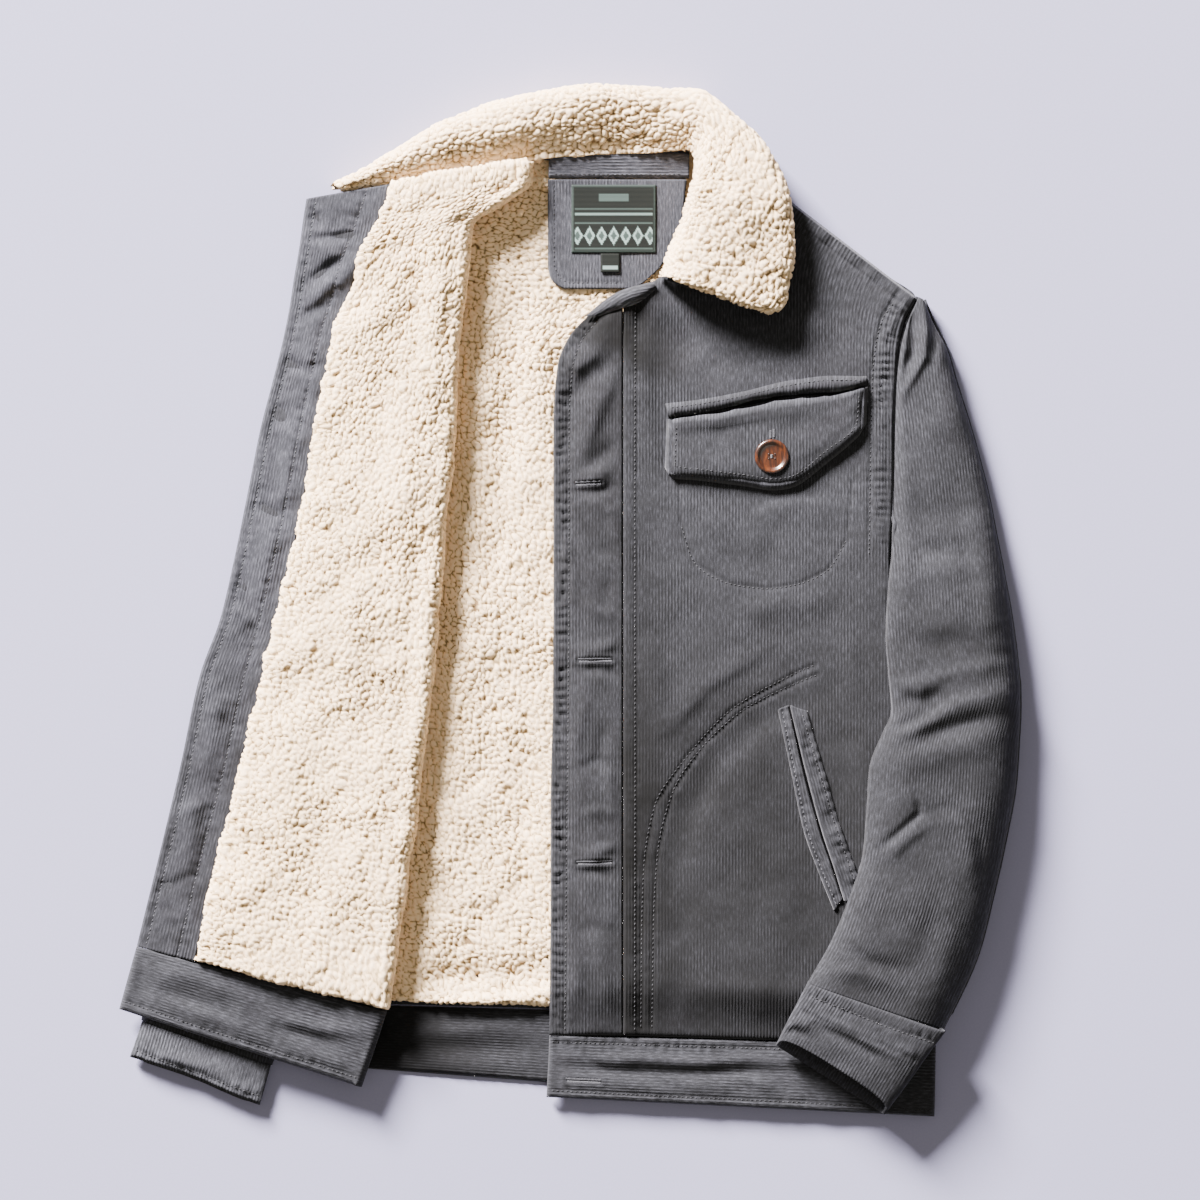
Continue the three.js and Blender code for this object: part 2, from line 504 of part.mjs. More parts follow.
// Its waistband goes round the same fold
const RIGHT_BAND_ROWS = table([...EDGES, 'top', 'bottom', 'hidden'], [
  [-312.2, -246.6, -131.6, -292.6, 20.4, 9.8, 42], [-316, -260, -137, -310, 20, 8.6, 42],
  [-320.5, -276, -143.5, -329, 19, 7, 42], [-325, -292, -150, -348, 17.8, 5.2, 42],
]);
{
  const face = [], back = [];
  for (const row of spread(RIGHT_BAND_ROWS, 4)) {
    const width = Math.hypot(row.rx - row.lx, row.ry - row.ly);
    const dx = (row.rx - row.lx) / width, dy = (row.ry - row.ly) / width;
    const outer = (row.top - row.bottom) / 2, middle = (row.top + row.bottom) / 2;
    const inner = outer - BAND_WALL, turn = width - outer;
    const f = [], b = [];
    const put = (list, s, z) => list.push([row.lx + dx * s, row.ly + dy * s, z]);
    for (let k = 0; k <= 10; k += 1) {
      const s = (turn * k) / 10;
      const droop = 4.6 * (1 - Math.sin((Math.PI / 2) * clamp(s / 70)));
      put(f, s, row.top - droop - 1.2 * (k === 0 ? 1 : 0));
      put(b, s, row.top - BAND_WALL - droop);
    }
    for (const angle of [60, 20, -20, -60]) {
      const a = (angle * Math.PI) / 180;
      put(f, turn + outer * Math.cos(a), middle + outer * Math.sin(a));
      put(b, turn + inner * Math.cos(a), middle + inner * Math.sin(a));
    }
    for (let k = 0; k <= 2; k += 1) {
      const s = turn - ((row.hidden - outer) * k) / 2;
      put(f, s, row.bottom);
      put(b, s, row.bottom + BAND_WALL);
    }
    face.push(f);
    back.push(b);
  }
  wall('waistband_right', CORDUROY, face, back);
}

// Left sleeve: the upper arm lies beside the body, the forearm crosses the front
const LEFT_SLEEVE_ROWS = table([...EDGES, 'inner', 'crown', 'outer', 'beside'], [
  [250.6, 221, 255, 219, 15.6, 16, 12, 1], [243, 204, 262, 203, 16.5, 19, 8, 1],
  [237.6, 182, 272, 184, 17, 21, 6, 1], [235.4, 158, 279, 160, 17, 21.5, 6, 1],
  [234.4, 125, 288, 132, 17, 21.5, 6, 1], [233.6, 92, 296, 104, 17, 21.5, 6, 1],
  [233.4, 66, 303, 76, 18, 22, 6, 1], [233.2, 40, 308, 50, 25, 26, 6, 0],
  [229, 14, 314, 20, 26, 29, 6, 0], [227, -20, 320, -14, 26, 30, 6, 0],
  [229, -52, 324, -46, 26.5, 30, 6, 0], [231, -76, 325, -60, 27, 32, 7, 0],
  [224, -94, 325, -78, 27, 33, 8, 0], [215, -118, 324, -98, 27, 34, 8, 0],
  [213, -146, 322, -128, 27, 35, 8, 0], [210, -181, 314, -172, 27, 35, 9, 0],
  [200, -213, 305, -212, 27, 35, 10, 0], [186, -246, 295, -251, 26, 34.5, 11, 0],
  [170.6, -272.3, 269.6, -307, 25.5, 33.5, 12, 0],
]);
const SLEEVE_FOLDS = table(['x1', 'y1', 'x2', 'y2', 'height', 'width'], [
  [236, -60, 262, -54, 3.2, 9], [262, -54, 318, -50, 2.8, 11], [236, -84, 262, -62, -3.6, 7],
  [234, -88, 265, -66, 2.2, 7], [242, -97, 300, -70, -2.6, 7], [232, -112, 300, -90, 2.6, 14],
  [250, -124, 246, -152, -2.4, 7], [246, -152, 226, -170, -2.2, 7], [262, -140, 290, -156, -1.8, 7],
  [290, -156, 296, -190, -1.4, 8], [256, 150, 262, 60, 1.2, 18], [262, 40, 270, -30, 1, 20],
  [250, -190, 236, -260, 1, 18],
]);
sleeveWalls('sleeve_left', LEFT_SLEEVE_ROWS,
  [0, 0.05, 0.13, 0.24, 0.36, 0.5, 0.64, 0.76, 0.87, 0.95, 1], 26,
  (x, y, row, u) => {
    const rim = u < 0.5 ? row.inner - 5 : row.outer;
    const edge = u < 0.5 && row.beside > 0.5 ? row.inner : rim;
    const bend = round(Math.min(u, 1 - u) / (u < 0.5 ? 0.26 : 0.34));
    return mix(edge, row.crown, bend) + foldsAt(SLEEVE_FOLDS, x, y) * ease(Math.min(u, 1 - u) * 6);
  }, SLEEVE_WALL,
  (x, y, row, u) => {
    if (row.beside > 0.98) return u < 0.02 || u > 0.98 ? 1.5 : 0;
    const body = laidNear(x, y, 13) + GAP;
    const under = laidNear(x, y, 13) > 1 ? body : 0;
    return u > 0.98 ? Math.max(under, 1.8) : under;
  });
cuff('cuff_left', table(CUFF_COLUMNS, [
  [169.8, -273.6, 269, -308.2, 18.9, 34.6, 0, 4, 0], [161, -290, 255, -326, 18.9, 35, 0.5, 6, 0],
  [154, -304, 242, -345, 14.5, 34, 2, 9, 0], [148, -317, 226, -367, 10.6, 32, 5, 13, 0],
]), 5, 28, 4);

// Collar: sherpa over the folded corduroy stand and leaf
const COLLAR_ROWS = table([...EDGES, 'inner', 'top', 'outer', 'leaf'], [
  [-163, 298.4, -170, 302, 13, 19, 2, 0], [-140, 301.6, -150, 313, 15, 22, 1, 0],
  [-112, 306.6, -120, 332, 17, 25, 0.4, 0], [-80, 313.4, -85, 349, 18, 27, 0.4, 0],
  [-45, 319, -48, 363, 18, 28, 0.4, 0], [-12, 323.5, -12, 370.5, 17, 28.5, 0.4, 0],
  [25, 326, 22, 373.5, 17, 29, 0.4, 0], [60, 327, 58, 371.5, 18, 30, 0.4, 0],
  [84, 327, 94, 369, 22, 32, 0.4, 0.2], [93, 319, 116, 353, 26, 35, 2, 0.6],
  [95, 308, 133, 337, 28, 37, 6, 0.9], [90, 296, 148, 315, 28, 38, 12, 1],
  [84, 282, 160, 286, 29, 38, 17, 1], [76, 264, 161, 255, 29, 37, 19, 1],
  [69, 248, 158, 230, 29, 36, 19.5, 1], [63, 235, 148, 204.5, 29, 34, 19.5, 1],
]);
{
  const outerFace = [], outerBack = [], innerFace = [], innerBack = [];
  for (const row of spread(COLLAR_ROWS, 24)) {
    const width = Math.hypot(row.rx - row.lx, row.ry - row.ly);
    const dx = (row.rx - row.lx) / width, dy = (row.ry - row.ly) / width;
    const line = [], reach = Math.min(11, width * 0.45);
    const at = (s, z) => line.push({ s, z });
    at(0, mix(row.inner, row.inner - 4, row.leaf));
    at(0.08 * width, mix(row.inner + 2, row.top - 3.5, row.leaf));
    at(0.26 * width, mix(mix(row.inner, row.top, 0.62), row.top, row.leaf));
    at(0.5 * width, mix(mix(row.inner, row.top, 0.9), Math.max(row.top - 4, 30.5), row.leaf));
    at(width - reach, mix(row.top, Math.max(row.top - 8, 29.5), row.leaf));
    at(width - reach * 0.3, mix(row.top - reach * 0.35, Math.max(row.top - 9.5, 28.4), row.leaf));
    at(width, mix(row.top - reach, Math.max(row.outer + 3, row.top - 13.5, 25.5), row.leaf));
    at(width - 0.6, Math.max(row.outer, row.leaf > 0.5 ? laidNear(row.rx, row.ry, 9) + 2 * GAP : 0));
    const normal = line.map((p, k) => {
      const a = line[Math.max(k - 1, 0)], b = line[Math.min(k + 1, line.length - 1)];
      const length = Math.hypot(b.s - a.s, b.z - a.z);
      return [-(b.z - a.z) / length, (b.s - a.s) / length];
    });
    const thick = Math.min(SHERPA_WALL, width * 0.35);
    const put = (list, s, z) => list.push([row.lx + dx * s, row.ly + dy * s, z]);
    const f = [], b = [], g = [], h = [];
    const lined = line.map((p, k) => ({
      s: Math.min(p.s - normal[k][0] * thick, width - thick), z: p.z - normal[k][1] * thick,
    }));
    line.forEach((p) => put(f, p.s, p.z));
    lined.forEach((p) => put(b, p.s, p.z));
    for (const u of [0, 0.12, 0.3, 0.55, 0.8, 1]) {
      const s = mix(thick + 1, width - thick - 1.5, u);
      const x = row.lx + dx * s, y = row.ly + dy * s;
      const low = laidNear(x, y, 12) > 1 ? laidNear(x, y, 12) + GAP : 0;
      let roof = 99;
      for (let k = 0; k + 1 < lined.length; k += 1) {
        const p = lined[k], q = lined[k + 1];
        if (s >= Math.min(p.s, q.s) - 2 && s <= Math.max(p.s, q.s) + 2 && Math.abs(q.s - p.s) > 1) {
          roof = Math.min(roof, mix(p.z, q.z, clamp((s - p.s) / (q.s - p.s))));
        }
      }
      const high = roof - 0.8;
      put(g, s, high);
      put(h, s, Math.min(low, high - 1));
    }
    outerFace.push(f);
    outerBack.push(b);
    innerFace.push(g);
    innerBack.push(h);
  }
  wall('undercollar', CORDUROY, innerFace, innerBack);
  wall('collar_upper', SHERPA, outerFace, outerBack);
}

export default group;
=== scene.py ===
import math
import bpy
import numpy as np
from mathutils import Matrix, Vector
from mathutils.bvhtree import BVHTree


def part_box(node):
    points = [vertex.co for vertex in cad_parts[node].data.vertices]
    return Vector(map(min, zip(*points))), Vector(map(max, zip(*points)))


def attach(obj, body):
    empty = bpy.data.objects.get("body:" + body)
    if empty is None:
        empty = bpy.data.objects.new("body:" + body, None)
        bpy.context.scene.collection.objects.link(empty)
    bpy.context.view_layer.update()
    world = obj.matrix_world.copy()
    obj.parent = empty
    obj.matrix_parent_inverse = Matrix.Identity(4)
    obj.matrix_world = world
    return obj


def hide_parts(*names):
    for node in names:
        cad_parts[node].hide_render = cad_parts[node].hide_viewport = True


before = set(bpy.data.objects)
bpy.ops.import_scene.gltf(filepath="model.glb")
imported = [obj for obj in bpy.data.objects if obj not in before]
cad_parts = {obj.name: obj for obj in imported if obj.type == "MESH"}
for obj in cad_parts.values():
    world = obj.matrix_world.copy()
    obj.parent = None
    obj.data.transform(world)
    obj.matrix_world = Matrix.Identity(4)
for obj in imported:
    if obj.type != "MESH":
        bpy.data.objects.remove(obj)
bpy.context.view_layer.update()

# Back panel. One piece of corduroy with its wales running from neck to hem. It is the layer that
# lies on the surface, so it is flat, and only its edges and underside ever show.
PLAN_CENTRE = 1.55                       # mm, the middle of the laid-out jacket along its length
CORD_PITCH = 2.3                         # mm between wales
CORD_WALL = 1.7                          # mm
WAVES = 314.159                          # Wave texture scale for ribs 1 mm apart
LABEL_RIB = 0.9                          # mm
LATTICE = np.random.default_rng(7).random((256, 256))


def clamp(x, low=0.0, high=1.0):
    return np.minimum(np.maximum(x, low), high)


def ease(t):
    t = clamp(t)
    return t * t * (3 - 2 * t)


def quarter(t):
    """A quarter round from 0 to 1."""
    return np.sqrt(clamp(1 - (1 - clamp(t)) ** 2))


def rounding(d, reach):
    """1 at an edge, falling to 0 in a quarter round at the distance reach from it."""
    return 1 - quarter(d / reach)


def falloff(d, reach):
    """1 at an edge, falling softly to 0 at the distance reach from it."""
    return 1 - ease(d / reach)


def bell(d, width):
    return np.exp(-((d / width) ** 2))


def mix(a, b, t):
    return a + (b - a) * t


def noise(x, y, size, seed=0):
    """Smooth seeded noise from -1 to 1, one lump every size mm."""
    x = np.asarray(x, float) / size + 37.7 * seed + 5000
    y = np.asarray(y, float) / size + 11.3 * seed + 5000
    i, j = np.floor(x).astype(int), np.floor(y).astype(int)
    f, g = ease(x - i), ease(y - j)
    at = lambda a, b: LATTICE[a % 256, b % 256]
    return 2 * mix(mix(at(i, j), at(i + 1, j), f), mix(at(i, j + 1), at(i + 1, j + 1), f), g) - 1


def flow(at, values, s):
    """Columns of values known at the places at, read smoothly at the places s."""
    h = np.diff(at)[:, None]
    d = np.diff(values, axis=0) / h
    m = np.zeros_like(values)
    same = d[:-1] * d[1:] > 0
    m[1:-1] = np.where(same, 2 * d[:-1] * d[1:] / np.where(same, d[:-1] + d[1:], 1), 0)
    m[0], m[-1] = d[0], d[-1]
    k = np.clip(np.searchsorted(at, s, "right") - 1, 0, len(at) - 2)
    t = ((s - at[k]) / h[k, 0])[:, None]
    return ((2 * t**3 - 3 * t**2 + 1) * values[k] + (t**3 - 2 * t**2 + t) * h[k] * m[k]
            + (3 * t**2 - 2 * t**3) * values[k + 1] + (t**3 - t**2) * h[k] * m[k + 1])


def cut(table, step, across=None):
    """A panel as a grid of points between its left and right edge, from a table of edge points in mm.

    Columns: left x, left y, right x, right y, and any others, which come back in p["more"].
    """
    t = np.array(table, float)
    run = (np.hypot(np.diff(t[:, 0]), np.diff(t[:, 1])) + np.hypot(np.diff(t[:, 2]), np.diff(t[:, 3]))) / 2
    at = np.concatenate([[0], np.cumsum(run)])
    s = np.linspace(0, at[-1], max(1, round(at[-1] / step / 4)) * 4 + 1)
    rows = flow(at, t, s)
    lx, ly, rx, ry = (rows[:, k][:, None] for k in range(4))
    width = np.hypot(rx - lx, ry - ly)
    u = np.linspace(0, 1, max(1, round(float(width.max()) / step / 4)) * 4
                    + 1) if across is None else np.array(across)
    p = {"x": mix(lx, rx, u[None, :]), "y": mix(ly, ry, u[None, :]), "u": u[None, :] + 0 * lx, "width": width,
         "left": u[None, :] * width, "right": (1 - u[None, :]) * width,
         "above": (s[:, None] + 0 * u[None, :]), "below": (at[-1] - s[:, None] + 0 * u[None, :]),
         "more": [rows[:, k][:, None] for k in range(4, rows.shape[1])]}
    return p


def sides(p):
    """The left edge of a cut panel, and the direction across it."""
    lx, ly = p["x"][:, :1], p["y"][:, :1]
    return lx, ly, (p["x"][:, -1:] - lx) / p["width"], (p["y"][:, -1:] - ly) / p["width"]


def near(x, y, points):
    """Distance to a line of points, how far along it the nearest place is, and on which side."""
    best, along, side, gone = None, None, None, 0.0
    for (ax, ay), (bx, by) in zip(points[:-1], points[1:]):
        dx, dy = bx - ax, by - ay
        length = math.hypot(dx, dy)
        s = clamp(((x - ax) * dx + (y - ay) * dy) / length**2)
        d = np.hypot(x - ax - s * dx, y - ay - s * dy)
        w = np.sign((x - ax) * dy - (y - ay) * dx)
        if best is None:
            best, along, side = d, gone + s * length, w
        else:
            hit = d < best
            best, along, side = np.where(hit, d, best), np.where(hit, gone + s * length, along), np.where(hit, w,
                                                                                                          side)
        gone += length
    return best, along, side, gone


def folds(x, y, table):
    """Soft ridges (above 0) and troughs (below 0): height, width on the left, width on the right, points."""
    z = np.zeros_like(x)
    for height, left, right, points in table:
        d, s, side, total = near(x, y, points)
        wide = np.where(side > 0, right, left)
        ends = ease(s / (0.3 * total)) * ease((total - s) / (0.3 * total)) * 0.65 + 0.35
        z += height * bell(d, wide) * ends
    return z


def seam(x, y, points, depth=0.5, pucker=0.35, pitch=6.5, reach=5.0, seed=1):
    """The groove of a sewn line, and the small ribs across it where its thread draws the cloth up."""
    d, s, side, total = near(x, y, points)
    t = s / pitch + 0.45 * noise(s, side * 5, 2.6 * pitch, seed)
    rib = (np.abs((t % 1) - 0.5) * 2) ** 2.6
    size = clamp(0.6 + 0.8 * noise(s, side * 9 + 2, 1.9 * pitch, seed + 50), 0.1, 1.0)
    waves = 0.5 * noise(s, side * 3, 0.8 * pitch, seed) - 1.7 * rib * size
    return -depth * bell(d, 1.3) + pucker * waves * bell(d, reach)


def normals(face, ring=False):
    """The outward normal at each point of a grid, which closes on itself if it is a ring."""
    du = np.roll(face, -1, 1) - np.roll(face, 1, 1) if ring else np.gradient(face, axis=1)
    normal = np.cross(np.gradient(face, axis=0), du)
    return normal / np.maximum(np.linalg.norm(normal, axis=2, keepdims=True), 1e-9)


def wall(name, face, thick, cloth, material, stride=4, ring=False, **marks):
    """A thin cloth wall: its face is a fine grid of points in mm, its back a coarser one under it.

    cloth is the place on the cut cloth of each point, in mm: across the wales and along them.
    """
    rows, cols = face.shape[:2]
    thick = np.broadcast_to(thick, (rows, cols))[..., None]
    back = (face - normals(face, ring) * thick)[::stride, ::stride]
    brows, bcols = back.shape[:2]
    n = rows * cols
    v = np.concatenate([face.reshape(-1, 3), back.reshape(-1, 3)])
    v[:, 2] = np.maximum(v[:, 2], 0.05)
    i, j = np.meshgrid(np.arange(cols if ring else cols - 1), np.arange(rows - 1))
    k = (j * cols + i).ravel()
    right = (j * cols + (i + 1) % cols).ravel()
    faces = np.stack([k, k + cols, right + cols, right], 1).tolist()
    i, j = np.meshgrid(np.arange(bcols if ring else bcols - 1), np.arange(brows - 1))
    k = n + (j * bcols + i).ravel()
    right = n + (j * bcols + (i + 1) % bcols).ravel()
    faces += np.stack([right, right + bcols, k + bcols, k], 1).tolist()
    if not ring:
        for b in range(brows - 1):
            run = [(b * stride + q) * cols for q in range(stride + 1)]
            low = n + b * bcols
            faces.append([low, low + bcols] + run[::-1])
            run = [r + cols - 1 for r in run]
            low += bcols - 1
            faces.append([low + bcols, low] + run)
    for b in range(bcols if ring else bcols - 1):
        run = [(b * stride + q) % cols for q in range(stride + 1)]
        low, after = n + b, n + (b + 1) % bcols
        faces.append([after, low] + run)
        run = [r + (rows - 1) * cols for r in run]
        low, after = low + (brows - 1) * bcols, after + (brows - 1) * bcols
        faces.append([low, after] + run[::-1])
    mesh = bpy.data.meshes.new(name)
    mesh.from_pydata(((v - [0, PLAN_CENTRE, 0]) / 1000).tolist(), [], faces)
    both = lambda a: np.concatenate([a.reshape(n, -1), a[::stride, ::stride].reshape(brows * bcols, -1)])
    loops = np.zeros(len(mesh.loops), int)
    mesh.loops.foreach_get("vertex_index", loops)
    where = both(np.stack(np.broadcast_arrays(*cloth), 2) + np.zeros((rows, cols, 1)))[loops] / 1000
    mesh.uv_layers.new(name="cloth").data.foreach_set("uv", where.ravel())
    for mark, value in marks.items():
        layer = mesh.attributes.new(mark, "FLOAT", "POINT")
        layer.data.foreach_set("value", both(np.broadcast_to(value, (rows, cols))).ravel())
    return placed(name, mesh, material)


def placed(name, mesh, material, smooth=True):
    """The mesh as an object of the scene, in its material."""
    if smooth:
        mesh.polygons.foreach_set("use_smooth", [True] * len(mesh.polygons))
    mesh.materials.append(material)
    piece = bpy.data.objects.new(name, mesh)
    bpy.context.scene.collection.objects.link(piece)
    return piece


def solid(name, verts, faces, material, smooth=True):
    """A piece from points in mm."""
    mesh = bpy.data.meshes.new(name)
    mesh.from_pydata([(x / 1000, (y - PLAN_CENTRE) / 1000, z / 1000) for x, y, z in verts], [], faces)
    return placed(name, mesh, material, smooth)


def sew(piece, *nodes, slot="corduroy", flat=None, held="laid", on=(), area=None):
    """The piece stands for its CAD nodes and rides with the jacket."""
    if nodes:
        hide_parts(*nodes)
    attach(piece, "root")


def srgb(code):
    """An sRGB hex colour as linear red, green, blue, alpha."""
    parts = [int(code[k:k + 2], 16) / 255 for k in (0, 2, 4)]
    return (*(c / 12.92 if c <= 0.04045 else ((c + 0.055) / 1.055) ** 2.4 for c in parts), 1.0)


def node(tree, kind, sockets=(), **settings):
    """Adds a node with its settings, and sets or links its sockets."""
    made = tree.nodes.new(kind)
    for key, value in settings.items():
        setattr(made, key, value)
    for key, value in dict(sockets).items():
        if isinstance(value, bpy.types.NodeSocket):
            tree.links.new(value, made.inputs[key])
        else:
            made.inputs[key].default_value = value
    return made


def ramp(tree, value, *stops):
    """Colours at places from 0 to 1."""
    made = node(tree, "ShaderNodeValToRGB", {"Fac": value})
    while len(made.color_ramp.elements) < len(stops):
        made.color_ramp.elements.new(0.5)
    for element, (place, code) in zip(made.color_ramp.elements, stops):
        element.position, element.color = place, srgb(code)
    return made.outputs["Color"]


def new_material(name):
    made = bpy.data.materials.new(name)
    made.use_nodes = True
    made.node_tree.nodes.clear()
    return made, made.node_tree


def finish_material(tree, **bsdf):
    shader = node(tree, "ShaderNodeBsdfPrincipled", {k.replace("_", " "): v for k, v in bsdf.items()})
    node(tree, "ShaderNodeOutputMaterial", {"Surface": shader.outputs["BSDF"]})


def corduroy(name, valley, rib, nap):
    """Cotton corduroy: brushed ribs of cut pile with valleys between them, darker partly as painted shade.

    Matt, with a soft velvet sheen at a low angle. The yarn is a mix of grey fibres, which gives
    light and dark flecks along each rib. The worn mark makes the cloth paler or darker:
    real wear on seam crests and edges, and in places painted shade and painted light.
    """
    made, tree = new_material(name)
    cloth = node(tree, "ShaderNodeUVMap", uv_map="cloth").outputs["UV"]
    ribs = node(tree, "ShaderNodeTexWave", {"Vector": cloth, "Scale": WAVES / CORD_PITCH, "Distortion": 0.9,
                                            "Detail": 1.5, "Detail Scale": 1.6}, wave_type="BANDS",
                bands_direction="X", wave_profile="SIN").outputs["Fac"]
    along = node(tree, "ShaderNodeMapping", {"Vector": cloth, "Scale": (1050, 170, 1)}).outputs["Vector"]
    flecks = node(tree, "ShaderNodeTexNoise", {"Vector": along, "Scale": 1.0, "Detail": 3,
                                               "Roughness": 0.65}).outputs["Fac"]
    fuzz = node(tree, "ShaderNodeTexNoise", {"Vector": cloth, "Scale": 1600, "Detail": 2}).outputs["Fac"]
    patches = node(tree, "ShaderNodeTexNoise", {"Vector": cloth, "Scale": 34, "Detail": 4,
                                                "Roughness": 0.6}).outputs["Fac"]
    rubbed = node(tree, "ShaderNodeTexNoise", {"Vector": cloth, "Scale": 21, "Detail": 3,
                                               "Distortion": 0.4}).outputs["Fac"]
    rubbed = node(tree, "ShaderNodeMapRange", {"Value": rubbed, "From Min": 0.38, "From Max": 0.62,
                                               "To Min": 0.15}).outputs["Result"]
    ribs = node(tree, "ShaderNodeMath", {0: ribs, 1: 0.5}, operation="SUBTRACT").outputs[0]
    ribs = node(tree, "ShaderNodeMath", {0: ribs, 1: rubbed, 2: 0.5}, operation="MULTIPLY_ADD").outputs[0]
    tone = node(tree, "ShaderNodeMath", {0: ribs, 1: 0.24, 2: flecks}, operation="MULTIPLY_ADD").outputs[0]
    tone = node(tree, "ShaderNodeMath", {0: fuzz, 1: 0.3, 2: tone}, operation="MULTIPLY_ADD").outputs[0]
    tone = node(tree, "ShaderNodeMapRange", {"Value": tone, "From Min": 0.5, "From Max": 1.08}).outputs["Result"]
    # The ramp from valley to nap is partly the cloth's colour and partly painted light and shade: shade in the
    # valleys, light on the rib tops.
    colour = ramp(tree, tone, (0.0, valley), (0.5, rib), (1.0, nap))
    # worn: real seam and edge wear, plus painted shade and painted light set by each piece.
    worn = node(tree, "ShaderNodeAttribute", attribute_name="worn").outputs["Fac"]
    shade = node(tree, "ShaderNodeMapRange", {"Value": patches, "From Min": 0.3, "From Max": 0.7, "To Min": 0.82,
                                              "To Max": 1.16}).outputs["Result"]
    shade = node(tree, "ShaderNodeMath", {0: shade, 1: worn}, operation="ADD").outputs[0]
    colour = node(tree, "ShaderNodeVectorMath", {0: colour, "Scale": shade}, operation="SCALE").outputs["Vector"]
    height = node(tree, "ShaderNodeMath", {0: flecks, 1: 0.5, 2: ribs}, operation="MULTIPLY_ADD").outputs[0]
    bump = node(tree, "ShaderNodeBump", {"Height": height, "Strength": 0.42, "Distance": 0.0006}).outputs["Normal"]
    finish_material(tree, Base_Color=colour, Roughness=0.92, Normal=bump, Sheen_Weight=0.12,
                    Sheen_Roughness=0.45, Sheen_Tint=srgb("b9bac2"), Specular_IOR_Level=0.2, IOR=1.5)
    return made


grey_corduroy = corduroy("corduroy_grey_cotton", "0e0e11", "212226", "3a3b42")
BACK = [
    (-76, 309, 88, 320), (-100, 300, 120, 308), (-140, 270, 190, 262), (-165, 246, 244, 218),
    (-150, 219, 234, 197), (-135, 183, 231, 161), (-126, 147, 229, 118), (-122, 120, 228, 60),
    (-130, 60, 230, 17), (-138, 0, 244, -20), (-146, -60, 259, -78), (-160, -177, 261, -190),
    (-178, -288, 262, -300),
]
p = cut(BACK, 9)
back_shell = wall("back_shell_cloth", np.stack([p["x"], p["y"], 1.9 + 0 * p["x"]], 2), 1.8, (p["x"], p["y"]),
                  grey_corduroy, stride=1, worn=0 * p["x"])
sew(back_shell, "back_shell", flat=(0.44, 0.62), on=["floor"], area=0.233)

# Back lining. Sherpa: a knit back with a polyester pile that is tumbled into small curls, so it is a
# field of soft clumps with dark gaps. It is sewn to the corduroy at its edges.
SHERPA_WALL = 5.0
CURL = 4.3                               # mm, across one curl


def curls(a, b, seed):
    """Height of the pile and its painted shade, both 0 to 1, at places a, b on the cloth in mm: bent clumps, packed.
    """
    wa = a + 1.9 * noise(a, b, 7, seed + 3) + 0.7 * noise(a, b, 2.9, seed + 5)
    wb = b + 1.9 * noise(a, b, 7, seed + 4) + 0.7 * noise(a, b, 2.9, seed + 6)
    ci, cj = np.floor(wa / CURL).astype(int), np.floor(wb / CURL).astype(int)
    first, second, tone = np.full(a.shape, 9.0), np.full(a.shape, 9.0), np.zeros(a.shape)
    for di in (-1, 0, 1):
        for dj in (-1, 0, 1):
            i, j = (ci + di) % 251, (cj + dj) % 249
            r1, r2 = LATTICE[i, (j + 31 * seed) % 256], LATTICE[(j + 57) % 256, (i + 19 * seed) % 256]
            r3 = LATTICE[(i + 101) % 256, (j + 77) % 256]
            dx = wa / CURL - (ci + di + 0.05 + 0.9 * r1)
            dy = wb / CURL - (cj + dj + 0.05 + 0.9 * r2)
            c, s = np.cos(r3 * math.pi), np.sin(r3 * math.pi)
            d = np.hypot((dx * c + dy * s) * 0.9, (dy * c - dx * s) * 1.12)
            second = np.where(d < first, first, np.minimum(second, d))
            tone = np.where(d < first, r3, tone)
            first = np.minimum(first, d)
    # The second result is painted shade: dark in the cracks between curls and towards each curl's edge.
    crack = 1 - ease((second - first) / 0.3)
    crack = crack * mix(0.75, 1.0, ease(0.5 + 0.7 * noise(a, b, 24, seed + 9)))
    height = clamp((1 - 0.7 * first ** 2) * (0.8 + 0.2 * tone) - 0.5 * crack)
    return height, clamp(1 - 0.95 * crack - 0.25 * first ** 2)


def sherpa_material():
    """Polyester sherpa: cream curls of fine crimped fibre, matt and faintly glowing at their rims.

    The tips are pale; the warm brown in the gaps between the curls is painted shade, read from the pile mark.
    """
    made, tree = new_material("sherpa_cream_polyester")
    cloth = node(tree, "ShaderNodeUVMap", uv_map="cloth").outputs["UV"]
    pile = node(tree, "ShaderNodeAttribute", attribute_name="pile").outputs["Fac"]
    fibre = node(tree, "ShaderNodeTexNoise", {"Vector": cloth, "Scale": 900, "Detail": 4, "Roughness": 0.7,
                                              "Distortion": 1.2}).outputs["Fac"]
    patches = node(tree, "ShaderNodeTexNoise", {"Vector": cloth, "Scale": 22, "Detail": 3}).outputs["Fac"]
    tone = node(tree, "ShaderNodeMath", {0: fibre, 1: 0.45, 2: pile}, operation="MULTIPLY_ADD").outputs[0]
    tone = node(tree, "ShaderNodeMapRange", {"Value": tone, "From Min": 0.25, "From Max": 1.2}).outputs["Result"]
    colour = ramp(tree, tone, (0.0, "72583a"), (0.2, "b0966e"), (0.45, "e4c69a"),
                  (0.75, "f9d9ae"), (1.0, "ffe4c0"))
    shade = node(tree, "ShaderNodeMapRange", {"Value": patches, "From Min": 0.3, "From Max": 0.7, "To Min": 0.86,
                                              "To Max": 1.06}).outputs["Result"]
    colour = node(tree, "ShaderNodeVectorMath", {0: colour, "Scale": shade}, operation="SCALE").outputs["Vector"]
    bump = node(tree, "ShaderNodeBump", {"Height": fibre, "Strength": 0.75, "Distance": 0.0018}).outputs["Normal"]
    finish_material(tree, Base_Color=colour, Roughness=1.0, Normal=bump, Sheen_Weight=0.4, Sheen_Roughness=0.6,
                    Sheen_Tint=srgb("ffe9c8"), Specular_IOR_Level=0.1, IOR=1.5)
    return made


sherpa = sherpa_material()


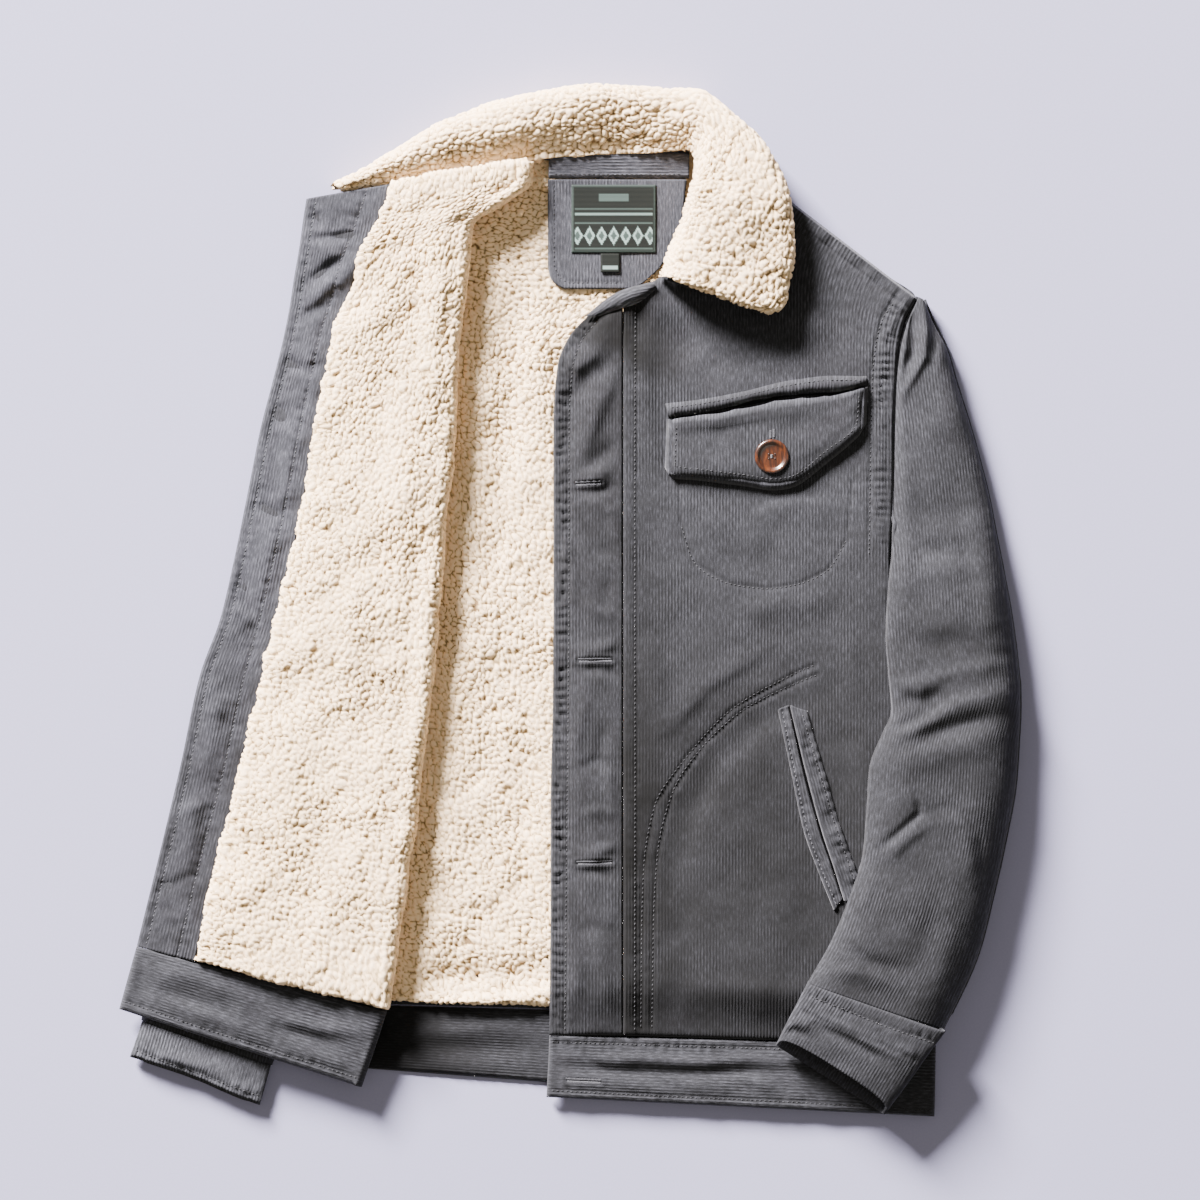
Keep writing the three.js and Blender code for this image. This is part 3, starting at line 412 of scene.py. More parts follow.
def pile_wall(name, face, cloth, thick, seed, depth=2.5, full=1.0, **how):
    """A sherpa wall: the face is raised and lowered along its own normal by the curls.

    full is 1 where the pile stands up and 0 where it is pressed flat.
    """
    height, tone = curls(cloth[0] + 0 * face[..., 0], cloth[1] + 0 * face[..., 0], seed)
    soft = 1.3 * noise(cloth[0], cloth[1], 30, seed + 2) + 0.8 * noise(cloth[0], cloth[1], 12, seed + 7)
    lift = ((height - 0.62) * depth + soft) * full
    # The pile mark carries the curls' painted shade, evened to 0.7 where the pile is pressed flat.
    return wall(name, face + normals(face) * lift[..., None], thick, cloth, sherpa,
                pile=mix(0.7, tone, clamp(full)), **how)


BACK_LINING = [(lx + 3, ly + (-5 if ly > 300 else 2), rx - 18, ry + (-5 if ry > 300 else 2)) for lx, ly, rx,
               ry in BACK]
BACK_LINING[0] = (-73, 317, 87, 326)
seen = np.concatenate([np.linspace(0, 0.1, 5)[:-1], np.linspace(0.1, 0.8, 121)[:-1], np.linspace(0.8, 1, 9)])
p = cut(BACK_LINING, 1.15, seen)
u, lx, rx = p["u"], p["x"][:, :1], p["x"][:, -1:]
row_y = (p["y"][:, :1] + p["y"][:, -1:]) / 2
first = np.maximum(np.interp(row_y, [-300, -123, 0, 158, 256, 300, 320], [-150, -125, -112, -98, -89, -62, -55]),
                   lx + 2)
last = np.minimum(np.interp(row_y, [-320, 165, 185, 240, 330], [-2, -2, 10, 88, 88]), rx - 3)
x = np.where(u < 0.1, mix(lx, first, u / 0.1), np.where(u < 0.8, mix(first, last, (u - 0.1) / 0.7),
                                                        mix(last, rx, (u - 0.8) / 0.2)))
y = mix(p["y"][:, :1], p["y"][:, -1:], (x - lx) / (rx - lx))
dip = folds(x, y, [
    (-2.4, 10, 16, [(-36, 250), (-46, 130), (-58, 10)]), (1.6, 14, 14, [(-60, 40), (-84, -120), (-90, -250)]),
    (-2.0, 10, 12, [(-30, -60), (-36, -200)]), (-2.4, 10, 14, [(-88, -210), (-78, -262)]),
    (4.0, 5, 5, [(-124, -289), (-96, -291), (-64, -287), (-36, -285), (-10, -279)]),
    (-3.6, 10, 8, [(-112, -274), (-84, -268), (-50, -270), (-14, -268)]), (1.6, 10, 12, [(-22, 210), (-26, 90)]),
])
z = 8.3 + dip - 3.5 * rounding(np.minimum(p["below"], x - lx), 5)
back_lining = pile_wall("back_lining_sherpa", np.stack([x, y, z], 2), (x, y), SHERPA_WALL - 1, 1, depth=2.2,
                        full=ease((0.81 - u) / 0.03) * ease((u - 0.09) / 0.03))
sew(back_lining, "back_lining", slot="sherpa", flat=(0.42, 0.62), on=["back_shell_cloth"], area=0.222)

# Back waistband. A doubled band of corduroy with its wales lying round the body, sewn to the hem of
# the back. Its inner side shows below the lining.
BACK_BAND = [(-178, -289, 263, -301), (-181, -310, 263, -334), (-184, -333, 263, -367)]
p = cut(BACK_BAND, 2.6)
edge = [(-186, -330), (40, -345.5), (263, -363.5)]
z = 3.2 + seam(p["x"], p["y"], edge, 0.5, 0.3, 9) + folds(p["x"], p["y"], [
    (1.8, 5, 8, [(-132, -306), (-90, -309), (-50, -305), (-20, -310)]),
    (-1.2, 6, 6, [(-120, -318), (-70, -322), (-20, -322)]),
    (0.7, 5, 5, [(-100, -332), (-40, -335)]),
]) - 1.6 * rounding(np.minimum(p["below"], p["above"]), 3.5)
# Painted shade: the band is darkened, most at its left end, for the shadow of the rolled right front above it.
waistband_back = wall("waistband_back_cloth", np.stack([p["x"], p["y"], z], 2), 2.6, (p["below"], p["left"]),
                      grey_corduroy,
                      worn=-0.72 + 0.55 * ease((p["x"] + 105) / 65) + 0.05 * noise(p["x"], p["y"], 14, 3))
sew(waistband_back, "waistband_back", flat=(0.445, 0.066), held="folded", on=["floor"], area=0.0256)

# Left front lining. The same sherpa, closed away between the back lining and the left front.
p = cut([
    (115, 290, 150, 272), (108, 262, 215, 214), (80, 236, 209, 190), (50, 210, 206, 150), (42, 180, 205, 110),
    (42, 120, 205, 60), (42, 30, 205, 0), (42, -69, 232, -72), (42, -213, 234, -219), (42, -282, 234, -286),
], 5)
sunk, _, _, _ = near(p["x"], p["y"], [(50, 208), (70, 192), (92, 178)])
face = np.stack([p["x"], p["y"], 15.1 - 1.6 * rounding(p["below"], 16) - 5 * bell(sunk, 26)], 2)
lining = pile_wall("front_left_lining_sherpa", face, (p["x"], p["y"]), SHERPA_WALL, 4, full=0 * p["x"], stride=1)
sew(lining, "front_left_lining", slot="sherpa", flat=(0.2, 0.59), on=["back_lining_sherpa"], area=0.098)

# Left front. Corduroy from the band seam to the side seam, over its lining. Topstitching runs beside the
# band seam, and the stitching of the two pocket bags shows through as shallow puckered grooves.
FRONT_TOP = 18.2
LEFT_FRONT = [
    (104, 333, 124, 317.7), (95, 309, 190, 267.2), (92.7, 301.6, 210, 251.9), (90.2, 293.8, 231, 235.8),
    (87, 284, 249, 222),
    (78, 257, 241, 205), (64, 235, 236, 182),
    (38.4, 221, 234, 158), (38.4, 205, 233, 130), (38.4, 186, 232.4, 98), (38.4, 150, 232, 70), (38.4, 95, 231, 34),
    (38.4, 30, 233, 10), (38.4, -26, 250, -20), (38.4, -69, 263, -70), (38.4, -141, 263, -147),
    (38.4, -213, 263, -219), (38.4, -311.2, 264, -318.2),
]
BAND_TOPSTITCH = [(47, 214), (46.5, 60), (46.8, -120), (46.5, -308)]
CHEST_BAG = [(78, 92), (80, 56), (90, 29), (117, 14), (143, 11), (165, 14.5), (185, 24), (199, 46), (203, 88)]
HAND_BAG = [(176, -44), (166, -48), (116, -76), (84, -110), (61, -145), (53, -190), (51.5, -240), (51, -306)]
HAND_BAG_2 = [(178, -51), (165, -56), (125, -76), (96, -102), (74, -135), (63, -179), (60, -230), (59, -306)]
ARMHOLE = [(245, 216), (236.5, 203), (231.5, 182), (229.5, 158), (228.6, 125), (228, 92), (227.6, 60), (227, 34)]
SHOULDER = [(104, 333), (249, 222)]
FRONT_FOLDS = [
    (1.4, 20, 24, [(60, -95), (100, -60)]), (2.6, 12, 15, [(207, -92), (216, -130), (222, -172)]),
    (1.8, 22, 26, [(130, -205), (150, -290)]), (-1.4, 14, 18, [(75, -150), (80, -270)]),
    (1.2, 18, 18, [(85, 60), (150, 40)]), (1.4, 7, 10, [(56, 200), (54, 150), (60, 100)]),
    (-1.2, 12, 12, [(110, 176), (190, 184)]), (1.2, 8, 8, [(214, 140), (220, 80)]),
    (1.2, 9, 9, [(120, -5), (190, 5)]),
    (1.3, 6, 12, [(130, 60), (160, 72), (200, 70)]), (1.0, 8, 8, [(56, -30), (64, -80)]),
    (-2.0, 10, 14, [(186, -62), (140, -82), (106, -112), (88, -150), (76, -200)]),
    (1.4, 9, 14, [(100, -275), (150, -282), (210, -276)]),
    (1.2, 5, 9, [(140, -34), (100, -58), (72, -90)]), (1.3, 6, 6, [(216, -190), (224, -236)]),
    (1.6, 10, 14, [(120, 212), (160, 204), (196, 190)]), (-1.6, 8, 10, [(96, 222), (130, 196), (150, 186)]),
    (-4.4, 14, 18, [(30, 214), (52, 204), (74, 190), (96, 174)]),
    (1.0, 12, 12, [(110, -150), (150, -190), (160, -240)]), (-0.8, 8, 10, [(190, -240), (196, -300)]),
    (0.9, 6, 8, [(200, -20), (206, -60)]), (-0.8, 6, 8, [(222, 20), (226, -30)]),
]
p = cut(LEFT_FRONT, 1.45)
x, y = p["x"], p["y"]
side_reach = mix(9, 24, ease((14 - y) / 24))
side_foot = mix(FRONT_TOP - 2.5, 6, ease((14 - y) / 24))
low = mix(side_foot, FRONT_TOP, quarter(p["right"] / side_reach))
low = np.minimum(low, mix(9.0, FRONT_TOP, 0.8 * ease(p["below"] / 42) + 0.2 * quarter(p["below"] / 6)))
to_shoulder = ((x - 104) * -111 - (y - 333) * 145) / math.hypot(145, 111)
low = np.minimum(low, np.where(y > 205, mix(5.4, FRONT_TOP, ease((to_shoulder + 0.6) / 3.6)), 99))
low = np.minimum(low, np.where(y > 223, mix(14.5, FRONT_TOP, quarter(p["left"] / 9)), 99))
calm = clamp(np.minimum(np.minimum(p["right"], p["below"]), p["left"] + 10) / 22)
z = low + (folds(x, y, FRONT_FOLDS) + 0.7 * noise(x, y, 42, 4) + 0.28 * noise(x, y, 13, 5)) * calm
z += 0.8 * ease((x - 38.4) / 1.6) * ease((48.4 - x) / 1.4) * (y < 216)
z += seam(x, y, BAND_TOPSTITCH, 0.5, 0.3, 7, 4, 2) + seam(x, y, CHEST_BAG, 0.5, 0.16, 8, 5, 3)
z += seam(x, y, HAND_BAG, 0.8, 0.25, 9, 5, 4) + seam(x, y, HAND_BAG_2, 0.8, 0.25, 9, 5, 5)
d, s, side, total = near(x, y, ARMHOLE)
fading = ease((y - 30) / 30)
z += fading * (0.8 * bell(d - 5, 4.5) - 0.8 * bell(d - 12, 1.6))
z += fading * seam(x, y, [(a - 6, b) for a, b in ARMHOLE], 0, mix(0.7, 1.5, ease((y - 110) / 60)), 5.2, 6.5, 6)
ds, ss, _, _ = near(x, y, SHOULDER)
z += 0.8 * noise(ss, 0 * ss, 9, 8) * bell(ds - 7, 5) - 0.6 * bell(ds - 11, 1.4)
worn = (0.10 * bell(d - 3, 3) - 0.16 * bell(d - 8.5, 1.6)
        + 0.07 * noise(s, 0 * s, 5, 6) * bell(d, 6))
# Painted shade: a dark patch along this line stands for the collar's shadow. The chest is a little paler and the
# front darkens towards the hem as painted light and shade; it is also darker towards the band.
COLLAR_SHADOW_LINE = [(20, 206), (44, 196), (66, 178)]
shaded, _, _, _ = near(x, y, COLLAR_SHADOW_LINE)
worn = worn - 0.62 * np.exp(-((shaded / 21) ** 4)) + 0.08 - 0.65 * ease((90 - y) / 240) - 0.3 * ease((84 - x) / 40)
for line in (BAND_TOPSTITCH, CHEST_BAG, HAND_BAG, HAND_BAG_2):
    dl, sl, _, _ = near(x, y, line)
    worn = worn - 0.1 * bell(dl, 1.4) + 0.05 * (1 + noise(sl, 0 * sl, 6, 9)) * bell(dl - 3, 1.8)
# The wales lean over towards the shoulder seam
across = x - 0.006 * clamp(50 - ds, 0, 50) ** 2
front_left = wall("front_left_cloth", np.stack([x, y, z], 2), CORD_WALL, (across, y), grey_corduroy, worn=worn)
sew(front_left, "front_left_shell", flat=(0.27, 0.68), held="folded", on=["front_left_lining_sherpa"], area=0.128)

# Topstitching. Tonal grey polyester thread, short raised stitches 3.3 mm long that sit in their groove.
STITCH = 3.3


def trees_of(*pieces):
    """Search trees of finished pieces, for laying things on them."""
    made = []
    for piece in pieces:
        verts = [v.co.copy() for v in piece.data.vertices]
        made.append(BVHTree.FromPolygons(verts, [tuple(f.vertices) for f in piece.data.polygons]))
    return made


def top_of(trees, x, y, missing=0.0):
    """Height in mm of the highest piece under a place in mm."""
    start, down = Vector((x / 1000, (y - PLAN_CENTRE) / 1000, 0.2)), Vector((0, 0, -1))
    hits = [tree.ray_cast(start, down)[0] for tree in trees]
    return max((hit.z * 1000 for hit in hits if hit is not None), default=missing)


def tops(trees, x, y, missing=0.0):
    return np.array([top_of(trees, a, b, missing) for a, b in zip(x.ravel(), y.ravel())]).reshape(x.shape)


def thread_material(name, low, high):
    """Spun polyester sewing thread: matt with a faint twist."""
    made, tree = new_material(name)
    place = node(tree, "ShaderNodeTexCoord").outputs["Object"]
    twist = node(tree, "ShaderNodeTexNoise", {"Vector": place, "Scale": 900, "Detail": 2}).outputs["Fac"]
    colour = ramp(tree, twist, (0.2, low), (0.8, high))
    bump = node(tree, "ShaderNodeBump", {"Height": twist, "Strength": 0.3, "Distance": 0.0003}).outputs["Normal"]
    finish_material(tree, Base_Color=colour, Roughness=0.75, Normal=bump, Sheen_Weight=0.05, Specular_IOR_Level=0.2,
                    IOR=1.5)
    return made


thread_grey = thread_material("thread_grey_polyester", "141517", "34353a")
thread_pale = thread_material("thread_pale_polyester", "212226", "4c4d53")


def stitches(name, lines, trees, material=thread_grey, pitch=STITCH, thick=0.42, sink=0.05):
    """Rows of stitches laid on the cloth along lines in mm."""
    verts, faces = [], []
    for points in lines:
        at = np.concatenate([[0], np.cumsum(np.hypot(*np.diff(np.array(points, float), axis=0).T))])
        count = max(1, int(at[-1] / pitch))
        s = (np.arange(count) + 0.5) * at[-1] / count
        mid = flow(at, np.array(points, float), s)
        after = flow(at, np.array(points, float), np.minimum(s + 0.5, at[-1]))
        before = flow(at, np.array(points, float), np.maximum(s - 0.5, 0))
        for (x, y), (ax, ay), (bx, by) in zip(mid, after, before):
            length = math.hypot(ax - bx, ay - by) or 1
            d = ((ax - bx) / length, (ay - by) / length)
            half = pitch * 0.39
            z0 = top_of(trees, x - d[0] * half, y - d[1] * half)
            z1 = top_of(trees, x + d[0] * half, y + d[1] * half)
            zm = max(top_of(trees, x, y), (z0 + z1) / 2)
            n = len(verts)
            side = (-d[1] * thick, d[0] * thick)
            verts += [(x - d[0] * half, y - d[1] * half, z0 - sink), (x + side[0], y + side[1], zm + 0.1),
                      (x, y, zm + thick + 0.12), (x - side[0], y - side[1], zm + 0.1), (x, y, zm - thick),
                      (x + d[0] * half, y + d[1] * half, z1 - sink)]
            for a, b in ((1, 2), (2, 3), (3, 4), (4, 1)):
                faces += [(n, n + b, n + a), (n + 5, n + a, n + b)]
    sew(solid(name, verts, faces, material))


front_trees = trees_of(front_left)
stitches("stitching_left_front", [BAND_TOPSTITCH, CHEST_BAG[1:-1], HAND_BAG, HAND_BAG_2,
                                  [(a - 12, b + 1) for a, b in ARMHOLE]], front_trees)

# Front band. A doubled strip of corduroy down the closing edge, with worked buttonholes and a row of
# stitching near its free edge. The thread draws it up into soft diagonal folds.


def slit(x, y, ends):
    """A buttonhole's worked slit: a groove with a raised edge round it."""
    d = near(x, y, ends)[0]
    return 0.8 * bell(d - 2.4, 1.7) - 1.2 * bell(d, 1.1)


BAND = [
    (13, 208, 38.2, 220.5), (-1, 192, 38.2, 205), (-9, 172, 38.2, 186), (-12, 132, 38.2, 150), (-12, 75, 38.2, 95),
    (-12, 17, 38.2, 30), (-12.4, -69, 38.2, -69), (-14, -141, 38.2, -141), (-14, -213, 38.2, -213),
    (-15, -311, 38.2, -311.2),
]
BUTTONHOLES = [((4, 86.5), (22, 87.5)), ((6, -40.5), (30, -40)), ((5, -186.5), (30, -185.5))]
BAND_EDGE = [(19, 203), (8, 189), (1.5, 168), (-0.6, 132), (-0.7, 20), (-1.4, -70), (-2.8, -213), (-3.8, -308)]
p = cut(BAND, 1.5)
x, y = p["x"], p["y"]
low = mix(14.4, FRONT_TOP + 0.4, ease(p["left"] / 34)) - 1.6 * rounding(p["left"], 3) - 0.9 * rounding(p["right"], 2)
low = mix(9.2, low, 0.8 * ease(p["below"] / 40) + 0.2 * quarter(p["below"] / 6))
low = np.minimum(low, mix(12.8, 32, quarter(p["above"] / 12)))
calm = 0.85 * clamp(np.minimum(np.minimum(p["left"] + 3, p["right"] + 3), p["below"]) / 12)
z = low + calm * folds(x, y, [
    (3.2, 6, 9, [(20, 183), (10, 174), (-1, 166)]), (-2.6, 6, 7, [(31, 175), (14, 163), (1, 148), (0, 112)]),
    (2.6, 6, 8, [(33, 166), (20, 140), (7, 103)]), (-2.0, 5, 6, [(35, 116), (22, 106), (13, 98)]),
    (2.4, 5, 5, [(2, 94), (14, 92), (30, 96)]), (-2.0, 4, 4, [(3, 81), (16, 80), (32, 84)]),
    (2.0, 4, 6, [(20, 72), (32, 66), (37, 40)]), (1.6, 5, 6, [(-6, 60), (2, 20), (-2, -10)]),
    (2.4, 5, 5, [(4, -33), (18, -34), (36, -28)]), (-1.9, 4, 4, [(8, -47), (22, -47), (36, -52)]),
    (1.8, 5, 7, [(12, -60), (4, -100), (8, -140)]), (-1.4, 5, 6, [(24, -80), (20, -130)]),
    (2.3, 5, 5, [(4, -179), (18, -180), (36, -173)]), (-1.9, 4, 4, [(6, -193), (20, -193), (34, -197)]),
    (1.8, 6, 7, [(-4, -220), (6, -260), (2, -296)]), (1.3, 5, 7, [(28, -214), (24, -262), (30, -300)]),
    (1.4, 4, 6, [(-2, 46), (-8, 10)]), (-1.2, 4, 5, [(28, 20), (24, -14)]), (1.3, 5, 5, [(26, -110), (34, -160)]),
    (-1.4, 5, 6, [(8, 60), (20, 40), (34, 34)]), (1.5, 4, 6, [(6, 4), (20, -6), (36, -8)]),
    (-1.3, 4, 5, [(4, -120), (20, -112), (34, -118)]),
    (1.4, 4, 5, [(6, -152), (22, -148), (36, -152)]), (-1.3, 5, 6, [(4, -236), (20, -232), (36, -240)]),
])
z += calm * (0.5 * noise(x, y, 16, 11) + 0.3 * noise(x, y * 0.4, 7, 12))
z += seam(x, y, BAND_EDGE, 0.9, 0.5, 7, 4, 13) + seam(x, y, [(a - 5.5, b) for a, b in BAND_EDGE], 0, 1.5, 6.4, 4.6,
                                                      14)
z += sum(slit(x, y, ends) for ends in BUTTONHOLES)
d, s, _, _ = near(x, y, BAND_EDGE)
worn = (0.12 * falloff(p["left"], 4) - 0.1 * bell(d, 1.3)
        + 0.07 * noise(x, y, 8, 14) + 0.08 * noise(s, 0 * s, 5, 15) * bell(d, 5))
# Painted shadow of the collar at the top of the band, along the same line as on the front.
worn = worn - 0.32 - 0.14 * falloff(p["right"], 1.6) - 0.5 * np.exp(-((near(x, y, COLLAR_SHADOW_LINE)[0] / 20) ** 4))
band_left = wall("placket_left_cloth", np.stack([x, y, z], 2), 3.2, (x * 0.97, y), grey_corduroy, worn=worn)
sew(band_left, "placket_left", flat=(0.054, 0.54), held="folded", on=["back_lining_sherpa"], area=0.0272)
band_trees = trees_of(band_left)
stitches("stitching_band", [BAND_EDGE], band_trees)

# Buttonholes. Each is a slit with a dense bead of thread round it, sewn as one narrow loop.
def buttonhole(name, start, end, trees):
    (ax, ay), (bx, by) = start, end
    length = math.hypot(bx - ax, by - ay)
    d = ((bx - ax) / length, (by - ay) / length)
    loop = []
    for k in range(int(2 * length / 0.55)):
        t = k * 0.55 / length
        along, side = (t, 1.15) if t <= 1 else (2 - t, -1.15)
        loop.append((ax + d[0] * along * length - d[1] * side, ay + d[1] * along * length + d[0] * side, d))
    verts, faces = [], []
    for x, y, d in loop:
        z = top_of(trees, x, y) + 0.15
        n = len(verts)
        for side, up in ((-0.9, -0.15), (-0.45, 0.3), (0.45, 0.3), (0.9, -0.15)):
            for end_of in (-0.26, 0.26):
                verts.append((x - d[1] * side + d[0] * end_of, y + d[0] * side + d[1] * end_of, z + up))
        for k in range(3):
            faces.append((n + 2 * k, n + 2 * k + 1, n + 2 * k + 3, n + 2 * k + 2))
    sew(solid(name, verts, faces, thread_pale, smooth=False))


def shadow_material():
    """The same corduroy, seen deep inside an opening, where hardly any light reaches it."""
    made, tree = new_material("corduroy_in_shadow")
    place = node(tree, "ShaderNodeTexCoord").outputs["Object"]
    weave = node(tree, "ShaderNodeTexNoise", {"Vector": place, "Scale": 900, "Detail": 2}).outputs["Fac"]
    finish_material(tree, Base_Color=ramp(tree, weave, (0.2, "060607"), (0.8, "151517")), Roughness=1.0,
                    Specular_IOR_Level=0.05)
    return made


inside_dark = shadow_material()


def opening(name, points, widths, trees, lift=0.16):
    """Painted shade in an opening: a near-black strip along points, as wide as the opening gapes there."""
    at = np.concatenate([[0], np.cumsum(np.hypot(*np.diff(np.array(points, float), axis=0).T))])
    rows = flow(at, np.column_stack([points, widths]), np.linspace(0, at[-1], max(8, int(at[-1] / 1.2))))
    run = np.gradient(rows[:, :2], axis=0)
    run /= np.linalg.norm(run, axis=1, keepdims=True)
    verts, faces = [], []
    for (x, y, wide), (dx, dy) in zip(rows, run):
        for k in (-0.5, 0, 0.5):
            a, b = x - dy * wide * k, y + dx * wide * k
            verts.append((a, b, top_of(trees, a, b) + lift))
    for k in range(0, len(verts) - 3, 3):
        faces += [(k, k + 3, k + 4, k + 1), (k + 1, k + 4, k + 5, k + 2)]
    sew(solid(name, verts, faces, inside_dark, smooth=False))


# A strip of painted shade fills each buttonhole's slit.
for number, (start, end) in enumerate(BUTTONHOLES):
    buttonhole(f"buttonhole_{number + 1}", start, end, band_trees)
    middle = ((start[0] + end[0]) / 2, (start[1] + end[1]) / 2 - 0.3)
    opening(f"buttonhole_gap_shade_{number + 1}", [start, middle, end], [0.3, 1.1, 0.3], band_trees, 0.3)

# Left waistband. Doubled corduroy with the wales lying round the body, sewn to the hem of the left front
# and closing with its own buttonhole. Its seam draws it into a long wavy crease.
LEFT_BAND = [(-15, -311.3, 264, -318.6), (-15.5, -326, 263.8, -335), (-16.3, -341, 263.5, -352),
             (-17, -356, 263, -370)]
WAIST_BUTTONHOLE = ((-3, -343.5), (22, -344.5))
p = cut(LEFT_BAND, 1.7)
x, y = p["x"], p["y"]
low_line = [(-14, -351), (60, -355), (150, -359), (262, -365.5)]
top_line = [(-14, -316), (90, -319), (262, -325)]
z = 8.6 - 2.2 * rounding(np.minimum(np.minimum(p["left"], p["below"]), p["right"]), 3) + 0.8 * bell(p["above"],
                                                                                                    6) - 0.7 * rounding(p["above"], 1.6)
z += folds(x, y, [
    (2.1, 4, 6, [(-1, -326), (25, -329), (50, -328), (94, -331), (130, -328), (166, -331)]),
    (-1.8, 4, 4, [(-6, -333), (40, -337), (90, -338), (160, -337)]),
    (1.3, 5, 5, [(20, -345), (60, -349), (110, -348)]),
    (1.3, 6, 5, [(170, -343), (210, -350), (250, -352)]), (-1.1, 3, 4, [(60, -343), (85, -352)]),
    (1.2, 4, 4, [(120, -340), (150, -351)]), (-1.0, 3, 5, [(6, -322), (30, -340)]),
    (-1.0, 3, 5, [(108, -322), (120, -346)]),
]) + 0.5 * noise(x, y, 15, 21)
z += seam(x, y, low_line, 0.7, 0.4, 8, 4, 22) + seam(x, y, top_line, 0.5, 0.6, 7, 5, 23)
z += slit(x, y, WAIST_BUTTONHOLE)
worn = 0.08 + 0.06 * noise(x, y, 9, 24) + 0.08 * falloff(p["below"], 3) - 0.14 * falloff(p["above"], 2)
waistband_left = wall("waistband_left_cloth", np.stack([x, y, z], 2), 3.0, (p["below"], p["left"]), grey_corduroy,
                      worn=worn)
sew(waistband_left, "waistband_left", flat=(0.285, 0.054), held="folded", on=["waistband_back_cloth"], area=0.014)
waist_trees = trees_of(waistband_left)
stitches("stitching_left_waistband", [low_line, top_line], waist_trees)
buttonhole("buttonhole_waist", *WAIST_BUTTONHOLE, waist_trees)
# A strip of painted shade fills the waist buttonhole's slit.
opening("buttonhole_gap_shade_waist", [WAIST_BUTTONHOLE[0], (9, -344.2), WAIST_BUTTONHOLE[1]], [0.3, 1.3, 0.3], waist_trees,
        0.3)

# Neckline binding. A narrow turned strip of corduroy that finishes the top of the front under the collar.
trees = front_trees + band_trees
p = cut([(12, 207, 21, 208), (26, 218.5, 35, 212.5), (38, 225.5, 49, 217), (60, 231, 62, 227.5)], 1.6)
z = tops(trees, p["x"], p["y"], 15.5)
z = np.maximum(z + 0.4, z.mean(axis=1, keepdims=True) + 1.2) + 1.6 * quarter(np.minimum(p["left"], p["right"]) / 4)
binding = wall("neckline_binding_cloth", np.stack([p["x"], p["y"], z], 2), 1.0, (p["left"], p["above"]),
               grey_corduroy,
               worn=0.2 + 0.05 * noise(p["x"], p["y"], 6, 31))
sew(binding, "neckline_binding", flat=(0.02, 0.075), held="folded", on=["placket_left_cloth"], area=0.0006)

# Chest pocket. A welt strip at the pocket mouth, and a pointed flap of two layers of corduroy, topstitched
# round its edge, that buttons down over it. The dark gap between the two is a strip of painted shade.
WELT_STITCH = [(72, 141), (94, 144), (122, 149), (158, 157.4), (190, 161), (210, 160.6)]
p = cut([
    (68.5, 143.5, 71, 134), (94, 146.5, 96, 138.5), (122, 151.5, 124, 145.5), (158, 160, 160, 151),
    (190, 163.5, 190, 153), (213, 163, 213, 158),
], 1.3)
x, y = p["x"], p["y"]
base = tops(front_trees, x, y, FRONT_TOP)
z = base + 0.5 + 0.9 * quarter(p["left"] / 2) - 0.6 * rounding(p["right"], 1.4) + 0.5 * noise(x, y, 9, 33)
z += seam(x, y, WELT_STITCH, 0.4, 0.6, 6, 3.4, 39)
z += 1.3 * bell(p["right"], 2.6) * (0.6 + 0.6 * noise(x, 0 * x, 12, 34))
y = y + 1.3 * noise(x, 0 * x, 10, 57) * falloff(p["right"], 5)
welt = wall("chest_pocket_welt_cloth", np.stack([x, y, z], 2), 1.2, (x, y), grey_corduroy,
            worn=0.07 * falloff(p["left"], 2) + 0.05 * noise(x, y, 7, 35) - 0.08 * falloff(p["right"], 1.5))
sew(welt, "chest_pocket_welt", flat=(0.03, 0.155), held="folded", on=["front_left_cloth"], area=0.0017)
FLAP = [
    (71, 133, 69.5, 95), (73, 133.4, 72, 92), (94, 134.6, 94, 90), (108, 136.4, 110, 88), (124, 140.2, 126, 86),
    (145, 144.8, 146, 83),
    (160, 147.2, 157, 84.2), (190, 149.6, 186, 104), (211, 155.4, 209, 124), (213, 156, 211.5, 127),
]
p = cut(FLAP, 1.4)
x, y = p["x"], p["y"]
y = y + (1.4 * noise(x, 0 * x, 9, 58) + 0.6 * noise(x, 0 * x, 4, 59)) * falloff(p["left"], 7) * clamp(p["below"] / 12)
rim = np.minimum(np.minimum(p["right"], p["left"] + 1.5), np.minimum(p["above"], p["below"]))
base = tops(front_trees, x, y, FRONT_TOP)
z = base + 0.8 + 3.6 * quarter(rim / 1.1)
z += folds(x, y, [
    (2.0, 4, 6, [(74, 128), (110, 133), (150, 140), (180, 143)]), (-1.3, 4, 5, [(84, 122), (130, 130), (160, 132)]),
    (1.8, 4, 4, [(196, 150), (202, 146), (203, 136)]), (-1.8, 2.5, 2.5, [(204, 153), (201, 143)]),
    (1.0, 7, 8, [(80, 100), (110, 98), (130, 96)]),
    (0.8, 6, 6, [(158, 104), (176, 112), (196, 122)]), (-1.2, 4, 4, [(150, 122), (170, 130)]),
    (-1.2, 3, 3, [(108, 126), (104, 108)]),
]) * clamp(rim / 5) + 0.3 * noise(x, y, 14, 36) * clamp(rim / 4)
FLAP_STITCH = [(76.5, 128), (75.5, 99.5), (95, 96.5), (126, 92.6), (146, 89.8), (156, 90.8), (184, 110), (206, 130.5),
               (207.5, 150)]
z += seam(x, y, FLAP_STITCH, 0.8, 0.4, 7, 3.4, 37)
d, s, _, _ = near(x, y, FLAP_STITCH)
